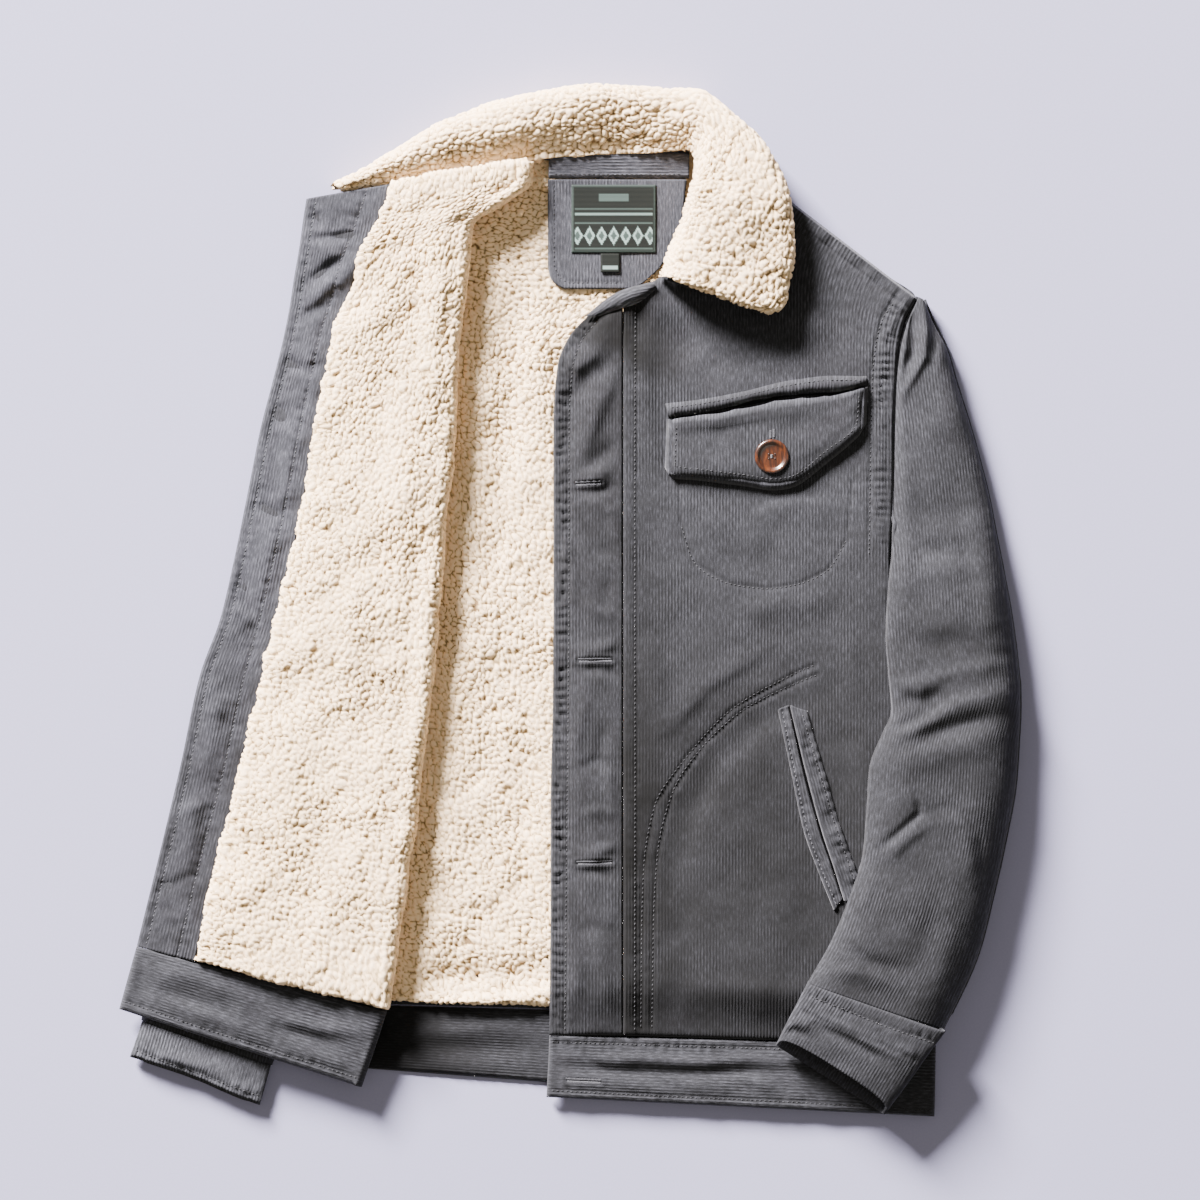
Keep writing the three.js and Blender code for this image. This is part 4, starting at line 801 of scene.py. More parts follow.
# Painted highlight: the rim of the flap is made paler as if it caught the light.
worn = 0.45 * falloff(rim - 1.5, 3) - 0.1 * bell(d, 1.3) + 0.05 * noise(x, y, 8, 38)
flap = wall("chest_pocket_flap_cloth", np.stack([x, y, z], 2), 1.6, (x, y), grey_corduroy, worn=worn)
sew(flap, "chest_pocket_flap", flat=(0.07, 0.15), held="folded", on=["front_left_cloth"], area=0.0074)
opening("chest_pocket_mouth_shade", [(71, 134.6), (94, 137.4), (112, 141.4), (130, 144.8), (158, 149.6), (190, 151.8),
                               (211, 157)],
        [0.4, 1.0, 2.2, 3.0, 1.2, 1.8, 0.6], trees_of(front_left), 0.3)
flap_trees = trees_of(flap)
stitches("stitching_flap", [FLAP_STITCH], flap_trees)
stitches("stitching_welt", [WELT_STITCH], trees_of(welt))
buttonhole("buttonhole_flap", (145.4, 125.5), (145.3, 119.5), flap_trees)

# Flap button. A 25 mm turned button of tan horn-look polyester with a raised rim, a dished face and
# four holes, sewn on with dark thread.
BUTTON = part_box("chest_button")
bx, by, bz = (BUTTON[0].x + BUTTON[1].x) * 500, (BUTTON[0].y + BUTTON[1].y) * 500 + PLAN_CENTRE, BUTTON[0].z * 1000


def button_material():
    """Cast polyester resin, streaked like horn and polished: glossy orange brown, darker at its rim."""
    made, tree = new_material("resin_horn_brown")
    place = node(tree, "ShaderNodeTexCoord").outputs["Object"]
    streaks = node(tree, "ShaderNodeMapping", {"Vector": place, "Scale": (500, 130, 300),
                                               "Rotation": (0, 0, 0.6)}).outputs["Vector"]
    grain = node(tree, "ShaderNodeTexNoise", {"Vector": streaks, "Scale": 1, "Detail": 4,
                                              "Distortion": 0.6}).outputs["Fac"]
    colour = ramp(tree, grain, (0.25, "170a05"), (0.5, "2c1308"), (0.8, "562c12"))
    bump = node(tree, "ShaderNodeBump", {"Height": grain, "Strength": 0.1, "Distance": 0.0002}).outputs["Normal"]
    finish_material(tree, Base_Color=colour, Roughness=0.28, Normal=bump, Coat_Weight=0.5, Coat_Roughness=0.12,
                    IOR=1.54)
    return made


profile = [(0, 0.2), (10.2, 0), (11.9, 0.9), (12.4, 2.2), (12.0, 3.4), (11.2, 3.95), (10.3, 3.9), (9.5, 3.3),
           (8.9, 2.5),
           (7.5, 2.25), (5.2, 2.3), (3.6, 2.3), (2.9, 2.3)]
verts, faces = [(bx, by, bz)], []
turns = 64
for r, h in profile[1:]:
    for k in range(turns):
        a = 2 * math.pi * k / turns
        verts.append((bx + r * math.cos(a), by + r * math.sin(a), bz + h))
faces += [(0, 1 + (k + 1) % turns, 1 + k) for k in range(turns)]
for ring in range(len(profile) - 2):
    a, b = 1 + ring * turns, 1 + (ring + 1) * turns
    faces += [(a + k, a + (k + 1) % turns, b + (k + 1) % turns, b + k) for k in range(turns)]
last = 1 + (len(profile) - 2) * turns
verts.append((bx, by, bz + 2.2))
faces += [(last + k, last + (k + 1) % turns, len(verts) - 1) for k in range(turns)]
button = solid("chest_button_resin", verts, faces, button_material())
sew(button, "chest_button", slot="button")
# Dark grey polyester thread, matt, and the deep shadow down a button's hole.
thread_dark, tree = new_material("thread_dark_polyester")
place = node(tree, "ShaderNodeTexCoord").outputs["Object"]
twist = node(tree, "ShaderNodeTexNoise", {"Vector": place, "Scale": 1500, "Detail": 2}).outputs["Fac"]
finish_material(tree, Base_Color=ramp(tree, twist, (0.2, "1d1d20"), (0.8, "4a4a50")), Roughness=0.8, Sheen_Weight=0.2)
button_tree = trees_of(button)
stitches("button_thread", [[(bx - 2.4, by + dy), (bx + 2.4, by + dy)] for dy in (-1.0, -0.4, 0.3, 0.9)], button_tree,
         thread_dark, 4.8, 0.5, 0.3)
hole_dark, tree = new_material("button_hole_shadow")
place = node(tree, "ShaderNodeTexCoord").outputs["Object"]
depth = node(tree, "ShaderNodeTexNoise", {"Vector": place, "Scale": 800, "Detail": 2}).outputs["Fac"]
finish_material(tree, Base_Color=ramp(tree, depth, (0.2, "120805"), (0.8, "2a140b")), Roughness=0.6)
stitches("button_holes", [[(bx + sx - 0.9, by + sy), (bx + sx + 0.9, by + sy)] for sx in (-2.3,
                                                                                          2.3) for sy in (-1.6, 1.6)],
         button_tree, hole_dark, 1.8, 0.8, 0.2)

# Hand pocket. A slanted slit in the left front between two folded strips, each with puckered stitching.
p = cut([(149.5, -76, 157, -73), (159, -121, 167.4, -118), (168, -163, 179.4, -162), (178, -191, 188.6, -190),
         (190, -221, 196, -212)], 1.15)
x, y = p["x"], p["y"]
z = tops(front_trees, x, y, FRONT_TOP) + 0.4 + 1.2 * quarter(np.minimum(p["left"], p["right"]) / 2.4)
z += 0.5 * noise(x, y * 0.5, 6, 41) + 0.9 * bell(p["right"], 2.4)
inner_line = [(152.6, -77), (161.4, -120), (171, -163), (181, -191), (192, -217)]
z += seam(x, y, inner_line, 0.5, 0.5, 7, 4.4, 42)
inner_strip = wall("hand_pocket_inner_cloth", np.stack([x, y, z], 2), 1.0, (p["left"], p["above"]), grey_corduroy,
                   worn=0.1 * bell(p["right"], 2) + 0.06 * noise(x, y, 6, 43))
sew(inner_strip, "hand_pocket_inner_strip", flat=(0.024, 0.155), held="folded", on=["front_left_cloth"], area=0.0015)
p = cut([(158.2, -73, 171, -77), (168.8, -118, 184, -122), (180.6, -162, 196, -163), (189.8, -190, 206, -190),
         (197.2, -214, 213, -214)], 1.25)
x, y = p["x"], p["y"]
z = tops(front_trees, x, y, FRONT_TOP) + 0.4 + 1.8 * quarter(np.minimum(p["left"], p["right"]) / 3)
ruffle = np.sin(p["above"] / 4.6 + 0.9 * noise(x, y, 20, 44)) * bell(p["right"] - 5, 4.5)
z += 0.9 * ruffle + 0.7 * noise(x, y * 0.6, 8, 45) + 0.8 * bell(p["left"], 2.6)
# The dark of the pocket slit is a strip of painted shade.
opening("hand_pocket_mouth_shade", [(157.4, -73.5), (168, -118), (179.8, -162), (189.2, -190), (196.6, -213)],
        [1.4, 2.2, 2.6, 2.6, 1.8],
        front_trees, 0.4)
outer_line = [(167, -79), (179.6, -122), (192, -163), (201.6, -190), (208, -212)]
z += seam(x, y, outer_line, 0.5, 0.7, 7.4, 5.4, 46)
outer_strip = wall("hand_pocket_outer_cloth", np.stack([x, y, z], 2), 1.0, (p["left"], p["above"]), grey_corduroy,
                   worn=0.1 * bell(p["left"], 2) + 0.07 * ruffle)
sew(outer_strip, "hand_pocket_outer_strip", flat=(0.034, 0.155), held="folded", on=["front_left_cloth"], area=0.0025)
stitches("stitching_hand_pocket", [inner_line], trees_of(inner_strip), thread_pale)
stitches("stitching_hand_pocket_outer", [outer_line], trees_of(outer_strip))

# Neck patch and tape. A half-round corduroy patch on the back lining, turned under and edge-stitched,
# with a folded tape over the neck seam above it.
patch_corduroy = corduroy("corduroy_patch_cotton", "191a1e", "313238", "4f5058")
p = cut([(-16, 306, 84, 306), (-16, 270, 80, 270), (-16, 244, 66, 244), (-14.5, 236, 58, 236), (-10, 230, 50, 230),
         (-4, 227, 40, 227)], 1.6)
x, y = p["x"], p["y"]
patch_line = [(-11.5, 303), (-11.5, 246), (-8, 236.5), (0, 231.6), (38, 231.6)]
z = 9.9 + 1.8 * quarter(np.minimum(p["left"], p["below"]) / 3) + 0.25 * noise(x, y, 18, 51)
z += seam(x, y, patch_line, 0.4, 0.25, 7, 4, 52)
patch = wall("neck_patch_cloth", np.stack([x, y, z], 2), 1.4, (x, y), patch_corduroy,
             worn=0.06 * falloff(p["below"], 3) + 0.05 * noise(x, y, 9, 53))
sew(patch, "neck_patch", flat=(0.1, 0.08), held="folded", on=["back_lining_sherpa"], area=0.0072)
p = cut([(-15, 325.5, 86, 325.5), (-15.5, 306.6, 86, 306.6)], 1.6)
x, y = p["x"], p["y"]
z = 11.2 + 1.6 * quarter(np.minimum(p["above"], p["below"]) / 3) + 2.6 * ease((y - 308) / 16) + 0.3 * noise(x, y,
                                                                                                            12, 54)
# Painted light: the tape is made paler, standing for light it catches below the collar.
tape = wall("neck_tape_cloth", np.stack([x, y, z], 2), 1.0, (y, x), patch_corduroy,
            worn=0.6 + 0.05 * noise(x, y, 7, 55))
sew(tape, "neck_tape", flat=(0.1, 0.02), held="folded", on=["back_lining_sherpa"], area=0.0019)
stitches("stitching_neck_patch", [patch_line, [(-12, 309.5), (80, 309.5)]], trees_of(patch, tape))

# Woven label. Fine polyester, a plain dark field over pale blocks, with a folded tab below it. The
# design is a generic one: stripes, a block and a row of diamonds.
def label_material():
    """Damask-woven polyester label: smooth, fine ribs, dark green grey with pale grey-green motifs."""
    made, tree = new_material("label_woven_polyester")
    cloth = node(tree, "ShaderNodeUVMap", uv_map="cloth").outputs["UV"]
    weave = node(tree, "ShaderNodeTexWave", {"Vector": cloth, "Scale": WAVES / LABEL_RIB, "Distortion": 0.3},
                 bands_direction="Y").outputs["Fac"]
    motif = node(tree, "ShaderNodeAttribute", attribute_name="motif").outputs["Fac"]
    tone = node(tree, "ShaderNodeMath", {0: weave, 1: 0.12, 2: motif}, operation="MULTIPLY_ADD").outputs[0]
    colour = ramp(tree, tone, (0.0, "060907"), (0.12, "0b100d"), (0.55, "35423f"), (1.0, "879d9a"))
    bump = node(tree, "ShaderNodeBump", {"Height": weave, "Strength": 0.25, "Distance": 0.0003}).outputs["Normal"]
    finish_material(tree, Base_Color=colour, Roughness=0.65, Normal=bump, Specular_IOR_Level=0.15, IOR=1.5)
    return made


label_woven = label_material()
p = cut([(1, 302, 62, 302), (1, 253, 62, 253)], 0.7)
x, y = p["x"], p["y"]
a, b = (x - 31.5) / 30.5, (y - 277.5) / 24.5
diamond = np.abs(((a * 3.5 + 0.5) % 1) - 0.5) * 2 + np.abs(b + 0.5) / 0.3
motif = 0.75 * (diamond < 0.95) - 0.35 * (diamond < 0.5)
motif = motif + 0.35 * (np.abs(np.abs(b + 0.5) - 0.38) < 0.035)
motif = motif + 0.6 * (np.abs(b - 0.14) < 0.05) + 0.3 * (np.abs(b
                                                                - 0.3) < 0.03) + 0.45 * ((np.abs(b - 0.62) < 0.12) & (np.abs(a) < 0.35))
motif = np.where(np.abs(a) > 0.93, 0, motif)
motif = np.where(np.minimum(np.minimum(p["left"], p["right"]), np.minimum(p["above"], p["below"])) < 1.6, 0.2, motif)
z = 12.6 + 0.35 * quarter(np.minimum(np.minimum(p["left"], p["right"]), np.minimum(p["above"], p["below"])) / 1.4)
z = z + 0.3 * noise(x, y, 26, 61)
label = wall("label_main_woven", np.stack([x, y, z], 2), 0.5, (x, y), label_woven, motif=motif * 1.0)
sew(label, "label_main", slot="woven_label", flat=(0.065, 0.053), on=["neck_patch_cloth"])
p = cut([(22, 252.4, 36, 252.4), (22, 239, 36, 239)], 0.6)
x, y = p["x"], p["y"]
motif = 0.7 * ((np.abs(y - 242.4) < 1.6) & (np.abs(x - 29) < 5.4))
z = 12.5 + 0.4 * quarter(np.minimum(p["left"], p["right"]) / 1.2) + 0.3 * (252 - y) / 13
tab = wall("label_tab_woven", np.stack([x, y, z], 2), 0.5, (x, y), label_woven, motif=motif)
sew(tab, "label_tab", slot="woven_label", flat=(0.015, 0.03), held="folded", on=["neck_patch_cloth"], area=0.0002)

# Right sleeve. Upper and under sleeve of corduroy with a padded lining, pressed flat under the opened
# front. Only its cuff shows at the lower left.
RIGHT_SLEEVE = [
    (-178, 234, -167, 236, 7), (-193, 205, -154, 208, 9), (-203, 170, -139, 176, 10), (-211, 140, -130, 147, 10.5),
    (-218, 110, -126, 116, 10.5), (-232, 50, -134.5, 55, 10.5), (-243, 0, -142.5, 2, 10.5),
    (-261, -62, -151, -62, 10.5),
    (-281, -140, -160, -142, 10.5), (-290, -177, -166, -180, 10.5), (-302, -233, -184, -240, 10.5),
    (-309, -300.8, -216, -332.8, 10.5),
]
p = cut(RIGHT_SLEEVE, 6)
edge = np.minimum(p["u"], 1 - p["u"])
middle = (p["u"] - 0.5) * p["width"]
z = mix(5.4, p["more"][0] - 0.2, quarter(edge * 6))
top = wall("sleeve_right_top_cloth", np.stack([p["x"], p["y"], z], 2), 2.2, (middle, p["above"]), grey_corduroy,
           worn=0 * z)
sew(top, "sleeve_right_top", flat=(0.14, 0.58), held="laid", on=["sleeve_right_under_cloth"], area=0.056)
z = mix(4.9, 2.2, quarter(edge * 8))
under = wall("sleeve_right_under_cloth", np.stack([p["x"], p["y"], z], 2), 2.0, (middle, p["above"]), grey_corduroy,
             worn=0 * z)
sew(under, "sleeve_right_under", flat=(0.13, 0.58), on=["floor"], area=0.056)


def tube(table, step, around):
    """A flattened ring of cloth, for a cuff: rows across it, each with its lower and upper height and its lip."""
    p = cut(table, step, [0, 1])
    low, high, lip = p["more"]
    a = math.pi - 2 * math.pi * np.arange(around)[None, :] / around
    c, s = np.cos(a), np.sin(a)
    u = 0.5 + 0.5 * np.sign(c) * np.abs(c) ** 0.8
    edge = np.sign(s) * np.abs(s) ** 0.55
    lx, ly, dx, dy = sides(p)
    wide = p["width"]
    shift = np.where(s > 0, lip, 0) * edge
    x, y = lx + dx * wide * u - dy * shift, ly + dy * wide * u + dx * shift
    z = (low + high) / 2 + (high - low) / 2 * edge
    return x, y, z, (u - 0.5) * wide, p["above"][:, :1] + 0 * u, s + 0 * wide


CUFF_RIGHT = [(-309.1, -301.15, -216.1, -333.15, 0, 10.6, 0), (-313.5, -314.5, -220, -347.5, 0, 11, 1),
              (-318, -327, -224, -362, 0, 10.6, 3)]
x, y, z, across, along, s = tube(CUFF_RIGHT, 1.9, 120)
upper = clamp(s * 3)
z = z + upper * (0.35 * noise(x, y, 14, 71) + folds(x, y, [
    (1.8, 5, 7, [(-305, -322), (-280, -331), (-250, -338)]), (-1.6, 4, 5, [(-300, -330), (-262, -343)]),
    (1.5, 5, 5, [(-246, -345), (-228, -350)]), (-1.5, 5, 5, [(-236, -338), (-226, -352)])]))
z = z + upper * seam(x, y, [(-316, -321), (-222, -356)], 0.5, 0.9, 6.4, 4, 72)
y = y + clamp(along / 26) * (0.9 * noise(across, 0 * across, 19,
                                         74) + 0.8 * (np.abs(across) < 40) * np.cos(across / 14))
# Painted light: the cuff is made much paler, lifting it out of the waistband's shadow.
cuff_right = wall("cuff_right_cloth", np.stack([x, y, z], 2), 2.4, (across, along), grey_corduroy, ring=True,
                  worn=0.9 + 0.05 * noise(x, y, 9, 73))
sew(cuff_right, "cuff_right", flat=(0.2, 0.033), held="folded", on=["floor"], area=0.006)
stitches("stitching_right_cuff", [[(-314, -322), (-270, -338), (-224, -355)]], trees_of(cuff_right))

# Right front, corduroy. Opened out with its face down, so it shows only at its edges. Near the middle of
# the jacket it turns over on itself and runs back under to the side seam.
ROLL_Z, ROLL = 18.35, 8.75               # mm, middle height and outer radius of the fold
LEG_EDGE = 9.4                           # mm, height of the front at its free edge
RIGHT_FRONT = [
    (-190, 292, -26, 318, 64, 14), (-192, 280, -27, 305, 61, 18), (-195, 258, -50, 287, 55, 26),
    (-199, 235, -70, 272, 50, 34), (-202, 215, -71, 256, 48, 40), (-207, 190, -74, 226, 42, 44),
    (-215, 158, -78, 194, 43, 42), (-223, 127, -80, 158, 44, 36), (-232, 82, -84, 107, 44, 34),
    (-242, 33, -89, 50, 43, 36), (-252, -10, -94, -1, 42, 38), (-267, -52, -99, -62, 46, 42),
    (-281, -117, -107, -123, 46, 42), (-295, -176, -114, -184, 44, 42), (-309, -233, -124, -249, 44, 42),
    (-312, -245.6, -131, -291.4, 44, 42),
]
LEG_FOLDS = [
    (2.2, 14, 18, [(-85, 285), (-95, 200)]), (-1.6, 14, 14, [(-140, 240), (-150, 170)]),
    (1.8, 24, 24, [(-110, 120), (-128, 0)]),
    (1.4, 26, 26, [(-160, 60), (-190, -60)]), (1.8, 24, 24, [(-150, -120), (-165, -220)]),
    (1.2, 22, 22, [(-220, -150), (-240, -230)]),
    (-1.3, 20, 20, [(-130, -40), (-150, -120)]), (-1.0, 18, 18, [(-200, -20), (-215, -90)]),
]


def leg_height(x, y, s):
    """Height of the opened front at the distance s from its free edge: it climbs towards the fold."""
    climb = LEG_EDGE + (ROLL_Z + 0.25 - LEG_EDGE) * np.sin(math.pi / 2 * clamp(s / 80))
    return climb + np.maximum(-0.2, folds(x, y, LEG_FOLDS)) * clamp(s / 30)


def rolled(step, first, up_outer, around, hidden_steps):
    """Grid over the opened leg, round the fold and under it. first 0 starts at the free edge, 1 at the facing.

    up_outer is the distance of the surface from the middle of the fold."""
    p = cut(RIGHT_FRONT, step, [0, 1])
    facing, hidden = p["more"]
    width = p["width"]
    lx, ly, dx, dy = sides(p)
    turn = width - ROLL
    start = facing * first + (0.5 if first else 0)
    n = around[0]
    t = np.linspace(0, 1, n + 1)[None, :]
    s = mix(start, turn, t)
    x, y = lx + dx * s, ly + dy * s
    low = mix(leg_height(x, y, s), ROLL_Z + 0.25, ease((s - turn + 24) / 24))
    angle = np.radians(np.linspace(90, -90, around[1] + 1)[None, 1:])
    sa = turn + up_outer * np.cos(angle)
    za = ROLL_Z + up_outer * np.sin(angle) + 0 * turn
    back = np.linspace(0, 1, hidden_steps + 1)[None, 1:]
    sb = turn - (hidden - ROLL) * back
    s_all = np.concatenate([s, sa, sb], 1)
    z_all = np.concatenate([low + up_outer - 0.25, za, ROLL_Z - up_outer + 0 * sb], 1)
    path = np.concatenate([s, turn + math.radians(180) * up_outer * np.linspace(0, 1, around[1] + 1)[None, 1:]
                           + 0 * turn,
                           turn + math.pi * up_outer + (hidden - ROLL) * back], 1)
    return lx + dx * s_all, ly + dy * s_all, z_all, path, p["above"][:, :1] + 0 * s_all, s_all, turn, p


x, y, z, path, along, s, turn, p = rolled(5, 0, 2.25, (32, 4), 4)
front_right = wall("front_right_cloth", np.stack([x, y, z], 2), CORD_WALL, (path, along), grey_corduroy, worn=0 * z)
sew(front_right, "front_right_shell", flat=(0.26, 0.6), held="folded", on=["sleeve_right_top_cloth"], area=0.106)

# Right front, lining. Sherpa over all of the opened front inside its facing. At the fold its pile opens
# out round a full soft edge.
x, y, z, path, along, s, turn, p = rolled(1.15, 1, ROLL, (116, 24), 8)
full = ease((path - path[:, :1] + 3) / 3) * ease((turn + 26 - path) / 8)
x = x - (2.2 + 1.0 * noise(along, 0 * along, 3.4, 88) + 1.0 * noise(along, 0 * along, 9, 89)) * falloff(path
                                                                                                        - path[:, :1], 9)
z = z + folds(x, y, [
    (2.6, 12, 18, [(-84, 262), (-88, 190), (-92, 120)]), (-2.4, 8, 12, [(-108, 250), (-112, 170)]),
    (-2.6, 5, 7, [(-62, 292), (-48, 296), (-30, 306)]),
    (-1.8, 10, 12, [(-104, 60), (-112, -60), (-118, -150)]), (1.8, 12, 10, [(-150, 40), (-162, -70)]),
    (-1.6, 12, 14, [(-130, 190), (-140, 90)]), (1.6, 14, 14, [(-190, -80), (-212, -200)]),
    (-1.4, 12, 14, [(-170, -140), (-190, -240)]),
]) * (s < turn) * ease((turn - s) / 12)
y = y + 3.2 * falloff(along, 14) * (s < turn + 4)
z = z - 3.0 * rounding(path - path[:, :1], 5) - 3.5 * rounding(along,
                                                               8) * (s < turn
                                                                     + 4) - 2.2 * rounding(p["below"][:, :1], 5) * (s < turn + 4)
front_right_lining = pile_wall("front_right_lining_sherpa", np.stack([x, y, z], 2), (path, along), SHERPA_WALL - 0.6,
                               2, depth=2.0, full=full)
sew(front_right_lining, "front_right_lining", slot="sherpa", flat=(0.22, 0.6), held="folded",
    on=["front_right_cloth"], area=0.1)

# Right facing. A strip of corduroy inside the free edge of the right front, stitched near the edge and
# again along its middle. Its cloth is a lighter, bluer copy of the corduroy: painted light for how its nap,
# lying the other way, catches the light.
facing_corduroy = corduroy("corduroy_facing_cotton", "15161a", "2a2b31", "45464e")
t = np.array(RIGHT_FRONT, float)
width = np.hypot(t[:, 2] - t[:, 0], t[:, 3] - t[:, 1])
share = t[:, 4] / width
FACING = np.stack([t[:, 0], t[:, 1], mix(t[:, 0], t[:, 2], share), mix(t[:, 1], t[:, 3], share)], 1)
FACING[-1] += [-0.3, -1.0, -0.3, -0.8]
p = cut(FACING, 1.6)
x, y = p["x"], p["y"]
z = leg_height(x, y, p["left"]) + 3.9
calm = 1.35 * clamp(np.minimum(p["left"], p["right"] + 4) / 6)
z += calm * folds(x, y, [
    (2.6, 6, 8, [(-194, 272), (-176, 256), (-152, 240)]), (-2.0, 3, 4, [(-192, 263), (-172, 264), (-153, 266)]),
    (-2.4, 4, 6, [(-190, 230), (-172, 243), (-156, 254)]), (2.4, 7, 9, [(-188, 218), (-170, 232), (-152, 244)]),
    (-1.6, 4, 5, [(-196, 205), (-180, 214), (-168, 226)]), (-1.6, 4, 4, [(-184, 284), (-178, 270)]),
    (1.7, 8, 8, [(-186, 200), (-182, 140)]), (-1.5, 6, 7, [(-206, 150), (-214, 100)]),
    (2.0, 7, 9, [(-210, 60), (-228, -10)]),
    (-1.8, 6, 7, [(-236, 30), (-226, -30)]), (2.0, 7, 8, [(-250, -60), (-262, -120)]),
    (1.8, 6, 8, [(-268, -140), (-276, -200)]),
    (-0.9, 6, 8, [(-262, -170), (-282, -220)]), (1.6, 6, 6, [(-200, 110), (-206, 70)]),
    (-1.8, 4, 5, [(-210, 178), (-190, 168), (-178, 172)]),
    (1.6, 4, 6, [(-216, 132), (-196, 118), (-186, 122)]), (-1.6, 4, 5, [(-226, 72), (-206, 62)]),
    (1.6, 4, 5, [(-246, 0), (-224, -16)]),
    (-0.8, 5, 6, [(-262, -86), (-240, -84)]), (1.8, 4, 6, [(-282, -150), (-262, -142)]),
    (-1.5, 4, 5, [(-296, -206), (-272, -196)]),
]) + calm * (0.6 * noise(x, y, 14, 81) + 0.35 * noise(x, y, 6, 82))
edge_line = [(a + 7, b) for a, b in FACING[:, :2]]
edge_line[0], edge_line[-1] = (edge_line[0][0], edge_line[0][1] - 2), (edge_line[-1][0], edge_line[-1][1] + 1)
mid_line = [(mix(a[0], a[2], 0.7), mix(a[1], a[3], 0.7)) for a in FACING]
z += seam(x, y, edge_line, 0.5, 0.5, 6, 4.5, 83) + seam(x, y, mid_line, 0.6, 0.6, 7, 5, 84)
z -= 1.8 * rounding(p["left"], 3)
d, q, _, _ = near(x, y, mid_line)
# The facing darkens towards the hem.
worn = 0.13 * falloff(p["left"], 4) + 0.09 * noise(q, p["left"], 5, 85) * bell(d, 6) - 0.09 * bell(d,
                                                                                                   1.3) + 0.06 * noise(x, y, 9, 86) - 0.45 * ease((60 - y) / 200)
facing = wall("facing_right_cloth", np.stack([x, y, z], 2), 1.6, (p["left"], p["above"]), facing_corduroy, worn=worn)
sew(facing, "facing_right", slot="facing_corduroy", flat=(0.085, 0.58), on=["front_right_cloth"], area=0.0265)
stitches("stitching_facing", [edge_line, mid_line], trees_of(facing), thread_pale)

# Right waistband. Doubled corduroy with the wales lying round the body, sewn to the hem of the opened
# front. It turns over in the same fold.
RIGHT_BAND = [
    (-312.2, -246.6, -131.6, -292.6, 20.4, 9.8, 42), (-316, -260, -137, -310, 20, 8.6, 42),
    (-320.5, -276, -143.5, -329, 19, 7, 42), (-325, -292, -150, -348, 17.8, 5.2, 42),
]
p = cut(RIGHT_BAND, 1.9, [0, 1])
up, down, hidden = p["more"]
lx, ly, dx, dy = sides(p)
outer, middle = (up - down) / 2, (up + down) / 2
turn = p["width"] - outer
s = turn * np.linspace(0, 1, 89)[None, :]
x, y = lx + dx * s, ly + dy * s
droop = 4.6 * (1 - np.sin(math.pi / 2 * clamp(s / 70)))
rim = np.minimum(s, p["below"][:, :1])
z = up - droop - 2.2 * rounding(rim, 3) - 1.0 * rounding(p["above"][:, :1], 2)
low_line = [(-322, -286), (-240, -313), (-153, -341)]
z = z + clamp(s / 8) * (folds(x, y, [
    (2.0, 5, 6, [(-212, -297), (-184, -305), (-152, -308)]), (-1.8, 4, 5, [(-208, -305), (-170, -315)]),
    (1.8, 6, 6, [(-300, -262), (-262, -272), (-232, -284)]), (-1.5, 5, 5, [(-300, -276), (-250, -292)]),
    (1.5, 5, 5, [(-286, -288), (-250, -300), (-220, -312)]), (1.4, 4, 5, [(-190, -322), (-160, -332)]),
    (-1.2, 4, 5, [(-310, -262), (-306, -284)]), (1.2, 4, 5, [(-240, -288), (-232, -306)]),
]) + 0.5 * noise(x, y, 15, 91))
z = z + seam(x, y, low_line, 0.7, 0.5, 8, 4, 92)
angle = np.radians(np.linspace(90, -90, 17)[None, 1:])
back = np.linspace(0, 1, 9)[None, 1:]
sa, za = turn + outer * np.cos(angle), middle + outer * np.sin(angle)
sb = turn - (hidden - outer) * back
s_all, z_all = np.concatenate([s, sa, sb], 1), np.concatenate([z, za, down + 0 * sb], 1)
path = np.concatenate([s, turn + outer * math.pi * np.linspace(0, 1, 17)[None, 1:],
                       turn + outer * math.pi + (hidden - outer) * back], 1)
above = p["above"][:, :1] + 0 * path
band_right = wall("waistband_right_cloth", np.stack([lx + dx * s_all, ly + dy * s_all, z_all], 2), 3.0, (above, path),
                  grey_corduroy, worn=0.2 + 0.06 * noise(path, above, 9, 93) + 0.1 * falloff(p["below"][:, :1], 3)
                  - 0.12 * falloff(above, 2))
sew(band_right, "waistband_right", flat=(0.26, 0.055), held="folded", on=["cuff_right_cloth"], area=0.013)
stitches("stitching_right_waistband", [low_line], trees_of(band_right))

# Left sleeve. An upper and an under sleeve of corduroy over a padded lining. The upper arm lies beside the
# body, the elbow is bent into deep soft folds, and the forearm crosses the front.
LEFT_SLEEVE = [
    (250.6, 221, 255, 219, 15.6, 16, 12, 1), (243, 204, 262, 203, 16.5, 19, 8, 1),
    (237.2, 182, 272, 184, 17, 21, 6, 1),
    (234.6, 158, 279, 160, 17, 21.5, 6, 1), (233.4, 125, 288, 132, 17, 21.5, 6, 1),
    (232.6, 92, 296, 104, 17, 21.5, 6, 1),
    (232.2, 66, 303, 76, 18, 22, 6, 1), (231.8, 40, 308, 50, 25, 26, 6, 0), (229, 14, 314, 20, 26, 29, 6, 0),
    (227, -20, 320, -14, 26, 30, 6, 0), (229, -52, 324, -46, 26.5, 30, 6, 0), (231, -76, 325, -60, 27, 32, 7, 0),
    (224, -94, 325, -78, 27, 33, 8, 0), (215, -118, 324, -98, 27, 34, 8, 0), (213, -146, 322, -128, 27, 35, 8, 0),
    (210, -181, 314, -172, 27, 35, 9, 0), (200, -213, 305, -212, 27, 35, 10, 0),
    (186, -246, 295, -251, 26, 34.5, 11, 0),
    (170.6, -272.3, 269.6, -307, 25.5, 33.5, 12, 0),
]
